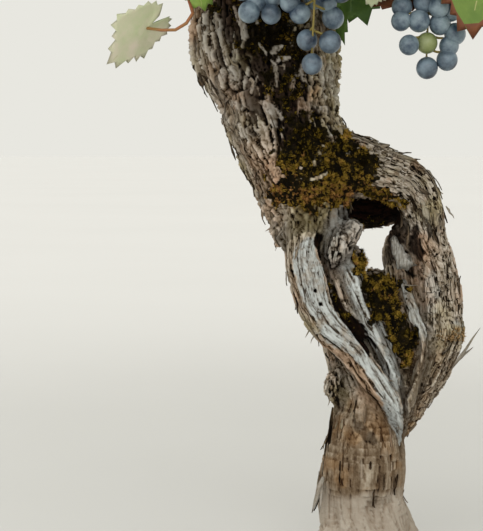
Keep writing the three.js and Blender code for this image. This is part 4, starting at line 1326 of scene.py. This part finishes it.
@lru_cache(maxsize=None)
def leaf_shape(rim_count):
    """A five-lobed toothed blade of width 1, with its stalk's joint at the origin and its tip up the
    second axis. The rim's distance is a base that falls to a notch at the stalk, plus a swelling for each
    lobe and teeth on every second point. Returns points, triangles and the kind of each: 0 inner top, 1
    rim top, 2 underside."""
    angle = np.linspace(-np.pi, np.pi, rim_count, endpoint=False) + (np.pi / rim_count if rim_count > 30 else 0)
    degrees = np.degrees(np.abs(angle))

    def reach(teeth):
        r = 0.37 * soft_step(186 - degrees, 0, 34) + 0.02
        for lobe, size, width in LOBES:
            r = r + size * np.exp(-((degrees - lobe) / width) ** 2 / 2)
        return r * (1 + teeth * np.where(np.arange(rim_count) % 2, 1, -1))

    def lay(r, angles):
        u, v = r * np.sin(angles), r * np.cos(angles)
        return np.stack((u, v, blade_bend(u, v, angles, r)), -1)

    half = rim_count // 2
    between = angle[::2] + np.pi / rim_count
    rim = lay(reach(TOOTH), angle)
    outer = lay(reach(0.0)[::2] * 0.86, between)
    inner = lay(reach(0.0)[::2] * 0.4, between)
    middle = np.array(((0.0, 0.03, 0.012),))
    thickness = np.array((0, 0, 0.006))
    side = np.vstack((outer, inner, middle))
    verts = np.vstack((rim, side + thickness, side - thickness))
    k, after = around(half)
    a, b, c = 2 * k, 2 * k + 1, (2 * k + 2) % rim_count
    faces, kinds = [], []
    for first, under in ((rim_count, False), (rim_count + 2 * half + 1, True)):
        near, far, hub = first, first + half, first + 2 * half
        inside = (faces_of(hub, far + after, far + k), faces_of(near + k, far + k, near + after),
                  faces_of(far + k, far + after, near + after))
        skirt = faces_of(near + k, b, a), faces_of(near + k, near + after, b), faces_of(near + after, c, b)
        top = np.vstack(inside + skirt)
        kind = np.repeat((0, 1), (half * len(inside), half * len(skirt)))
        faces.append(top[:, ::-1] if under else top)
        kinds.append(kind * 0 + 2 if under else kind)
    return verts, np.vstack(faces), np.concatenate(kinds)


def leaf_points(leaves, shape):
    """A shape's points on each leaf: joint + width * (u * wide + v * along + n * face), with the blade's
    own droop and curl from its seed."""
    joint, wide, along, face = (np.array([leaf[key] for leaf in leaves])[:, None] for key in
                                ("joint", "wide", "along", "face"))
    width = np.array([leaf["width"] for leaf in leaves])[:, None, None]
    rolls = np.array([[chance(leaf["seed"], 60 + i) for i in range(3)] for leaf in leaves])
    u, v, n = shape[None, :, 0], shape[None, :, 1], shape[None, :, 2]
    curl = (rolls[:, :1] - 0.35) * 0.35
    fold = (rolls[:, 1:2] - 0.3) * 0.3
    twist = (rolls[:, 2:3] - 0.5) * 0.5
    lift = n - curl * v * np.abs(v) + fold * np.abs(u) + twist * u * v
    return joint + width * (u[..., None] * wide + v[..., None] * along + lift[..., None] * face)


def leaf_picks(leaves, kinds):
    """Materials for each leaf's faces: the blade's own green, rust on the rims of some, pale below."""
    rows = []
    for leaf in leaves:
        roll = chance(leaf["seed"], 91)
        blade = leaf.get("blade", int(np.digitize(roll, (0.46, 0.66, 0.9))))
        turned = leaf.get("turned", chance(leaf["seed"], 92) < (0.7 if blade == 3 else 0.14))
        row = np.choose(kinds, (blade, blade, leaf.get("under", UNDERSIDE)))
        if turned:
            dry = np.random.default_rng(leaf["seed"]).random(len(kinds) // 6 + 1).repeat(6)[:len(kinds)] < 0.6
            row = np.where((kinds == 1) & dry, RUST, row)
        rows.append(row)
    return np.array(rows)


def leaf_veins(pile, leaves):
    """Five raised veins on each blade, thin wedges from the stalk's joint towards the lobes."""
    for angle, reach in VEINS:
        turn = math.radians(angle)
        out = np.array((math.sin(turn), math.cos(turn)))
        over = np.array((out[1], -out[0])) * 0.011
        rows = []
        for share, width in ((0.0, 1.0), (0.5, 0.7), (1.0, 0.1)):
            for hand in (-1, 1):
                u, v = out * reach * share + over * width * hand
                rows.append((u, v, blade_bend(u, v, turn, reach * share) + 0.012 - 0.004 * share))
        faces = np.array(((0, 1, 3, 2), (2, 3, 5, 4)))
        places = leaf_points(leaves, np.array(rows))
        pile.add_copies(places, faces, np.full((len(leaves), 2), VEIN))


def leaf_stalks(pile, leaves):
    """Each leaf's stalk: a thin tube that leaves the shoot and bows up before it meets the blade."""
    for leaf in leaves:
        root, joint = leaf["root"], leaf["joint"]
        bow = 0.07 * np.linalg.norm(joint - root)
        rows = smooth_route(leaf.get("path", (root, (root + joint) / 2 + (0, 0, bow), joint)), 2)
        width = 0.011 * leaf["width"] + 0.5
        pile.add_tube(rows, width * 1.25, width, STALK, 4)


# Grapes

@lru_cache(maxsize=None)
def ball(level):
    """A round berry: an icosahedron whose triangles are each parted into four, level times."""
    t = (1 + 5 ** 0.5) / 2
    verts = np.array([(-1, t, 0), (1, t, 0), (-1, -t, 0), (1, -t, 0), (0, -1, t), (0, 1, t), (0, -1, -t),
                      (0, 1, -t), (t, 0, -1), (t, 0, 1), (-t, 0, -1), (-t, 0, 1)], float)
    faces = np.array([(0, 11, 5), (0, 5, 1), (0, 1, 7), (0, 7, 10), (0, 10, 11), (1, 5, 9), (5, 11, 4),
                      (11, 10, 2), (10, 7, 6), (7, 1, 8), (3, 9, 4), (3, 4, 2), (3, 2, 6), (3, 6, 8),
                      (3, 8, 9), (4, 9, 5), (2, 4, 11), (6, 2, 10), (8, 6, 7), (9, 8, 1)])
    verts = unit(verts)
    for _ in range(level):
        edges = np.sort(np.concatenate((faces[:, (0, 1)], faces[:, (1, 2)], faces[:, (2, 0)])), 1)
        pairs, number = np.unique(edges, axis=0, return_inverse=True)
        number = number.reshape(3, -1) + len(verts)
        verts = unit(np.vstack((verts, verts[pairs].sum(1))))
        a, b, c = faces.T
        ab, bc, ca = number
        faces = np.vstack((faces_of(a, ab, ca), faces_of(b, bc, ab), faces_of(c, ca, bc),
                           faces_of(ab, bc, ca)))
    return verts, faces


PROFILE = ((0, 0.3), (0.1, 0.8), (0.32, 1), (0.62, 0.74), (0.9, 0.38), (1, 0.14))


def bunch_berries(top, length, radius, seed, berry):
    """Berry middles of one bunch: rings down a hanging cone, then moved apart where two would overlap."""
    drops, shares = np.array(PROFILE).T
    places = []
    row = 0
    for drop in np.arange(berry * 0.4, length, berry * 0.82):
        reach = max(np.interp(drop / length, drops, shares) * radius - berry * 0.5, 0.5)
        for ring in (reach, reach - berry):
            if ring < 0.3:
                continue
            count = max(int(2 * math.pi * ring / (berry * 0.98)), 1)
            start = chance(seed, row)
            row += 1
            for k in range(count):
                angle = 2 * math.pi * (k / count + start)
                bump = 1 + 0.16 * (chance(seed + 1, row * 31 + k) - 0.5)
                dip = berry * 0.5 * (chance(seed + 2, row * 17 + k) - 0.5)
                places.append((ring * bump * math.cos(angle), ring * bump * math.sin(angle), -drop + dip))
    places = np.array(places)
    for _ in range(14):
        gap = places[:, None] - places[None]
        away = np.linalg.norm(gap, axis=-1) + np.eye(len(places)) * 99
        push = np.maximum(berry * 0.97 - away, 0) / away * 0.42
        places = places + (gap * push[..., None]).sum(1)
    return top + places


# What the photo shows of the low bunches and leaves, as pixels of its 483 x 531 frame
LOW_BERRIES = {
    0: dict(depth=-64, pixels=((300, 13), (333, 18), (307, 40), (330, 42), (312, 64), (327, 3), (290, 2),
                               (314, -1), (300, -12), (321, -20), (341, -8)), unripe=()),
    1: dict(depth=-56, pixels=((249, 12), (256, 2), (271, 14), (272, -4), (243, -10), (262, -20)), unripe=()),
    2: dict(depth=-52, pixels=((402, 7), (401, 21), (419, 21), (440, 24), (409, 45), (455, 34), (449, 46),
                               (447, 60), (427, 68), (427, 43), (439, 7), (424, 2), (451, 11), (412, -14),
                               (436, -10), (455, -6)), unripe=(9,)),
}
# Leaves by their stalk's end, tip and depths there, the way they face, their width and colours, and the
# stalk: its root on an arm in millimetres, then pixels down to the blade
SHOWN_LEAVES = (
    ("left", dict(joint=(146.8, 28.2), tip=(102, 63), depth=-62, face=(-0.52, 0.5, 0.66), width=47,
         blade=2, under=8, turned=False, root=(-128, -14, 436), stalk=((185, -12), (192.8, 13.3), (175.4, 29.9)))),
    ("left", dict(joint=(196, -26), tip=(199, 11), depth=-66, face=(0.15, -0.8, 0.5), width=36,
         blade=2, under=5, turned=False, root=(-132, -16, 440), stalk=((186, -34),))),
    ("right", dict(joint=(482, -22), tip=(470, 34), depth=-66, face=(-0.1, -0.9, 0.35), width=54,
         blade=2, under=5, turned=True, root=(74, -36, 508), stalk=((478, -70),))),
    ("right", dict(joint=(374, -12), tip=(369, 9), depth=-44, face=(0.1, -0.8, 0.5), width=20,
         blade=8, under=8, turned=False, root=(20, -20, 478), stalk=((376, -34),))),
    ("right", dict(joint=(411, -4), tip=(375, 16), depth=-30, face=(0.1, -0.5, 0.8), width=40,
         blade=4, under=5, turned=True, root=(20, -14, 478), stalk=((412, -34),))),
    ("right", dict(joint=(350, -40), tip=(358, 25), depth=-8, face=(0.2, -0.85, 0.4), width=62,
         blade=0, under=5, turned=False, root=(-20, 6, 452), stalk=((346, -70),))),
    ("right", dict(joint=(341, -14), tip=(344, 52), depth=-14, face=(-0.93, -0.3, 0.1), width=54,
         blade=0, under=5, turned=False, root=(-24, 8, 450), stalk=((338, -56),))),
)
CAMERA_AT = np.array((-86.0, -1000.0, 282.4))
CAMERA_PITCH = 4.5
LENS = 100
SENSOR = 36
PHOTO = (483, 531)


def from_photo(u, v, depth):
    """The place at a depth y that the photo shows at a pixel: along the ray from the camera."""
    focal = LENS / SENSOR * PHOTO[1]
    right, up = (u - PHOTO[0] / 2) / focal, (PHOTO[1] / 2 - v) / focal
    pitch = math.radians(CAMERA_PITCH)
    ray = np.array((right, math.cos(pitch) + up * math.sin(pitch), up * math.cos(pitch) - math.sin(pitch)))
    return CAMERA_AT + ray * (depth - CAMERA_AT[1]) / ray[1]


def add_bunch(pile, start, top, length, radius, seed, row):
    """One bunch with its stalk, its rachis and, where the photo shows it, its own berries below."""
    berry = sizes().berry * 1000
    places = bunch_berries(top, length, radius, seed, berry)
    if row is not None:
        seen = LOW_BERRIES[row]
        shown = np.array([from_photo(u, v, seen["depth"] + 9 * (chance(seed, i) - 0.5))
                          for i, (u, v) in enumerate(seen["pixels"])])
        floor = shown[:, 2].max() - 4
        places = np.vstack((places[places[:, 2] > floor], shown))
    shape, faces = ball(2 if row is not None else 1)
    rolls = np.array([[chance(seed + 7, 5 * i + j) for j in range(4)] for i in range(len(places))])
    size = berry / 2 * (0.93 + 0.13 * rolls[:, 0])
    points = places[:, None] + size[:, None, None] * shape * (1, 1, 1.03)
    shade = np.select((rolls[:, 1] < 0.58, rolls[:, 1] < 0.82, rolls[:, 1] < 0.975), (0, 1, 2), UNRIPE)
    if row is not None:
        shade = np.minimum(shade, 1)
        shade[len(places) - len(shown) + np.array(seen["unripe"], int)] = UNRIPE
    pile.add_copies(points, faces, np.repeat(shade[:, None], len(faces), 1))
    bend = (start + top) / 2
    bend[2] = max(start[2], top[2]) + 0.1 * np.linalg.norm(start - top)
    low = places[np.argmin(places[:, 2])]
    core = np.vstack((start, bend, top, top - (0, 0, length * 0.35), low + (0, 3, berry * 0.5)))
    pile.add_tube(smooth_route(core, 5), 1.7, 0.6, BUNCH_STALK)
    for place in places if row is not None else places[::3]:
        inner = np.array((np.interp(-place[2], -core[2:, 2], core[2:, 0]),
                          np.interp(-place[2], -core[2:, 2], core[2:, 1]), place[2] + berry * 0.55))
        line = np.array((inner, (inner + place) / 2 + (0, 0, 1.5), place + (0, 0, berry * 0.35)))
        pile.add_tube(line, 0.9, 0.7, BUNCH_STALK)


# The add-on

class VineSizes(bpy.types.PropertyGroup):
    bark_pitch: bpy.props.FloatProperty(
        name="Bark Pitch", description="Distance between points of the carved bark, in millimetres",
        default=1.0, min=0.7, max=4)
    berry: bpy.props.FloatProperty(
        name="Berry", description="Width of one berry", default=0.0135, unit="LENGTH")
    tufts: bpy.props.IntProperty(
        name="Moss Tufts", description="How many tufts of moss grow on the trunk", default=7000)
    strips: bpy.props.IntProperty(
        name="Bark Strips", description="How many strips of bark peel off the trunk", default=460)


def sizes():
    """The sizes that the panel shows."""
    return bpy.context.scene.vine_sizes


class VINE_OT_trunk(bpy.types.Operator):
    """Carves the trunk: foot, stems round the window, and head"""
    bl_idname = "vine.trunk"
    bl_label = "Trunk"

    def execute(self, context):
        for row in TRUNK_PIECES:
            trunk_part(*row)
        return {"FINISHED"}


class VINE_OT_clinging(bpy.types.Operator):
    """Adds what clings to the trunk: peeling strips of bark, splinters and moss"""
    bl_idname = "vine.clinging"
    bl_label = "Strips and Moss"

    def execute(self, context):
        add_strips()
        add_moss()
        return {"FINISHED"}


class VINE_OT_arms(bpy.types.Operator):
    """Makes the seven arms: tubes with the head's shaggy bark and a widened root"""
    bl_idname = "vine.arms"
    bl_label = "Arms"

    def execute(self, context):
        for mass in masses():
            make_arm(mass)
        return {"FINISHED"}


ARM_SIDES, ARM_STEPS = 52, 30


def make_arm(mass):
    """One arm: a tube whose rings are moved out by the bark's relief, closed at both ends."""
    sides = ARM_SIDES
    route = smooth_route(mass["route"], ARM_STEPS)
    share = np.linspace(0, 1, len(route))
    radii = route[:, 3] * (1 + 0.35 * np.exp(-((share - 0.1) / 0.12) ** 2))
    radii = radii * (1 + 0.16 * np.exp(-((share - 0.97) / 0.06) ** 2))
    verts, quads, ends = tube(route[:, :3], radii, sides)
    angle = np.tile(np.linspace(0, 2 * np.pi, sides, endpoint=False), len(route))
    length = np.repeat(share * np.linalg.norm(route[-1, :3] - route[0, :3]), sides)
    across = np.repeat(radii, sides)
    grain = np.stack((across * np.cos(angle), across * np.sin(angle), length), -1)
    grain = np.vstack((grain, (0, 0, 0), (0, 0, length[-1])))
    height, tone, cells = bark_height(grain, "shaggy", ARM_SEED + 30 * mass["index"])
    calm = np.concatenate((np.repeat(1 - 0.9 * soft_step(share, 0.985, 1), sides), (0, 0)))
    out = unit(verts - np.vstack((np.repeat(route[:, :3], sides, 0), verts[-2:] - 1)))
    # The colour runs from dark in the gaps to pale on the raised plates: partly painted shade in the gaps, partly the
    # bark's own darker furrows
    relief = 0.5 + (height - blurred(height, quads, 8)) / BARK["shaggy"]["depth"]
    verts = verts + out * (0.7 * height * calm)[:, None]
    piece = put_mesh("arm_" + mass["name"] + "_bark", verts, [quads, ends], [bark_finish()])
    moss = np.clip(0.1 + 0.9 * noise(verts / 24, 80 + mass["index"]), 0, 1)
    put_values(piece, relief=relief, tone=tone, bare=0 * tone, moss=0.5 * moss, grain=grain, cells=cells,
               cracked=0.5 + 0 * tone)
    settle(piece, "bark", "arm_" + mass["name"])


class VINE_OT_shoots(bpy.types.Operator):
    """Makes the shoots: a stem on each arm, canes that arch out of it, and side shoots"""
    bl_idname = "vine.shoots"
    bl_label = "Shoots"

    def execute(self, context):
        pile = Pile()
        for mass in masses():
            crown = grown(mass["name"])
            ahead = unit(crown["fork"] - crown["tip"])
            start = crown["tip"] - ahead * 10
            stem = np.array((start, crown["tip"], crown["fork"], crown["fork"] + ahead * 7))
            pile.add_tube(smooth_route(stem, 5), *STEM_RADII, 0, 12)
            for joints in crown["canes"]:
                pile.add_tube(smooth_route(joints[:4], 5), *SHOOT_RADII[:2], 0, 8)
                pile.add_tube(smooth_route(joints[3:], 5), *SHOOT_RADII[2:], 1, 8)
            for points, radius in crown["sides"]:
                pile.add_tube(smooth_route(points, 3), radius, 1.2, 1, 6)
        piece = pile.build("shoots", [
            plain_finish("cane_brown", (150, 108, 70), (104, 72, 46), 0.6, 160, 0.0006),
            plain_finish("cane_green", (142, 142, 76), (112, 120, 58), 0.55, 160, 0.0004)])
        settle(piece, "shoot")
        return {"FINISHED"}


def group_by_detail(leaves):
    """The leaves that the photo shows, and then the others, where there are any."""
    groups = [[leaf for leaf in leaves if ("blade" in leaf) == shown] for shown in (True, False)]
    return [group for group in groups if group]


class VINE_OT_leaves(bpy.types.Operator):
    """Makes the leaves of each mass, with their veins and stalks"""
    bl_idname = "vine.leaves"
    bl_label = "Leaves"

    def execute(self, context):
        finishes = [plain_finish(*row, 0.55, 60, 0.0004) for row in LEAF_TINTS]
        for mass in masses():
            pile = Pile()
            for leaves in group_by_detail(grown(mass["name"])["leaves"]):
                verts, faces, kinds = leaf_shape(SHOWN_RIM if "blade" in leaves[0] else RIM)
                pile.add_copies(leaf_points(leaves, verts), faces, leaf_picks(leaves, kinds))
                leaf_veins(pile, leaves)
                leaf_stalks(pile, leaves)
            settle(pile.build("leaves_" + mass["name"], finishes), "foliage", "foliage_" + mass["name"])
        return {"FINISHED"}


class VINE_OT_grapes(bpy.types.Operator):
    """Makes the bunches of grapes"""
    bl_idname = "vine.grapes"
    bl_label = "Grapes"

    def execute(self, context):
        finishes = [berry_finish(*row) for row in BERRY_TINTS]
        finishes.append(plain_finish("bunch_stalk", (164, 140, 74), (128, 120, 58), 0.6, 90, 0.0003))
        for low in (True, False):
            pile = Pile()
            for mass in masses():
                for bunch in grown(mass["name"])["bunches"]:
                    if (bunch[5] is not None) == low:
                        add_bunch(pile, *bunch)
            settle(pile.build("grapes_low" if low else "grapes", finishes), "grapes")
        return {"FINISHED"}


# The floor's half width, the sky's screen colour, and the suns: turns, strength and angle
FLOOR_REACH = 60000.0
SKY_TINT = (232, 231, 224)
SUNS = (("back_light", (-40, 0, 32), 2.2, 40), ("front_light", (50, 0, -8), 1.5, 60))


class VINE_OT_stage(bpy.types.Operator):
    """Lays the floor and places the lights and the camera"""
    bl_idname = "vine.stage"
    bl_label = "Stage"

    def execute(self, context):
        scene = context.scene
        corners = np.array(((-1, -1, 0), (1, -1, 0), (1, 1, 0), (-1, 1, 0))) * FLOOR_REACH
        pale = plain_finish("pale_floor", (183, 182, 178), (181, 180, 176), 1.0, 1, 0.0)
        floor = put_mesh("floor", corners, [np.array(((0, 1, 2, 3),))], [pale])
        world = bpy.data.worlds.new("pale_sky")
        world.use_nodes = True
        sky = world.node_tree.nodes["Background"].inputs
        sky["Color"].default_value = tint(*SKY_TINT)
        sky["Strength"].default_value = 1.0
        scene.world = world
        for sun in SUNS:
            add_sun(*sun)
        camera = bpy.data.cameras.new("camera")
        camera.lens = LENS
        camera.sensor_width = SENSOR
        camera.clip_end = 200
        seat = bpy.data.objects.new("camera", camera)
        seat.location = CAMERA_AT * METRES
        seat.rotation_euler = (math.radians(90 - CAMERA_PITCH), 0, 0)
        scene.collection.objects.link(seat)
        scene.camera = seat
        scene.view_settings.view_transform = "Standard"
        return {"FINISHED"}


def add_sun(name, turns, strength, spread):
    """A broad sun: turns are degrees about the axes from straight down, and spread its angle."""
    light = bpy.data.lights.new(name, "SUN")
    light.energy = strength
    light.angle = math.radians(spread)
    lamp = bpy.data.objects.new(name, light)
    lamp.rotation_euler = [math.radians(a) for a in turns]
    bpy.context.scene.collection.objects.link(lamp)


class VINE_PT_panel(bpy.types.Panel):
    """Lists the vine's sizes and the steps that make it"""
    bl_idname = "VINE_PT_panel"
    bl_label = "Grapevine"
    bl_space_type = "VIEW_3D"
    bl_region_type = "UI"
    bl_category = "Vine"

    def draw(self, context):
        for name in VineSizes.__annotations__:
            self.layout.prop(context.scene.vine_sizes, name)
        for step in STEPS:
            self.layout.operator(step.bl_idname)


STEPS = (VINE_OT_trunk, VINE_OT_clinging, VINE_OT_arms, VINE_OT_shoots, VINE_OT_leaves, VINE_OT_grapes,
         VINE_OT_stage)
CLASSES = (VineSizes, *STEPS, VINE_PT_panel)


def register():
    """Makes the add-on's classes and sizes known to Blender."""
    for made in CLASSES:
        bpy.utils.register_class(made)
    bpy.types.Scene.vine_sizes = bpy.props.PointerProperty(type=VineSizes)


def unregister():
    """Takes the add-on's classes and sizes away again."""
    del bpy.types.Scene.vine_sizes
    for made in reversed(CLASSES):
        bpy.utils.unregister_class(made)


def main():
    """Makes the whole vine and its stage."""
    register()
    for step in STEPS:
        group, name = step.bl_idname.split(".")
        getattr(getattr(bpy.ops, group), name)()


if __name__ == "__main__":
    main()
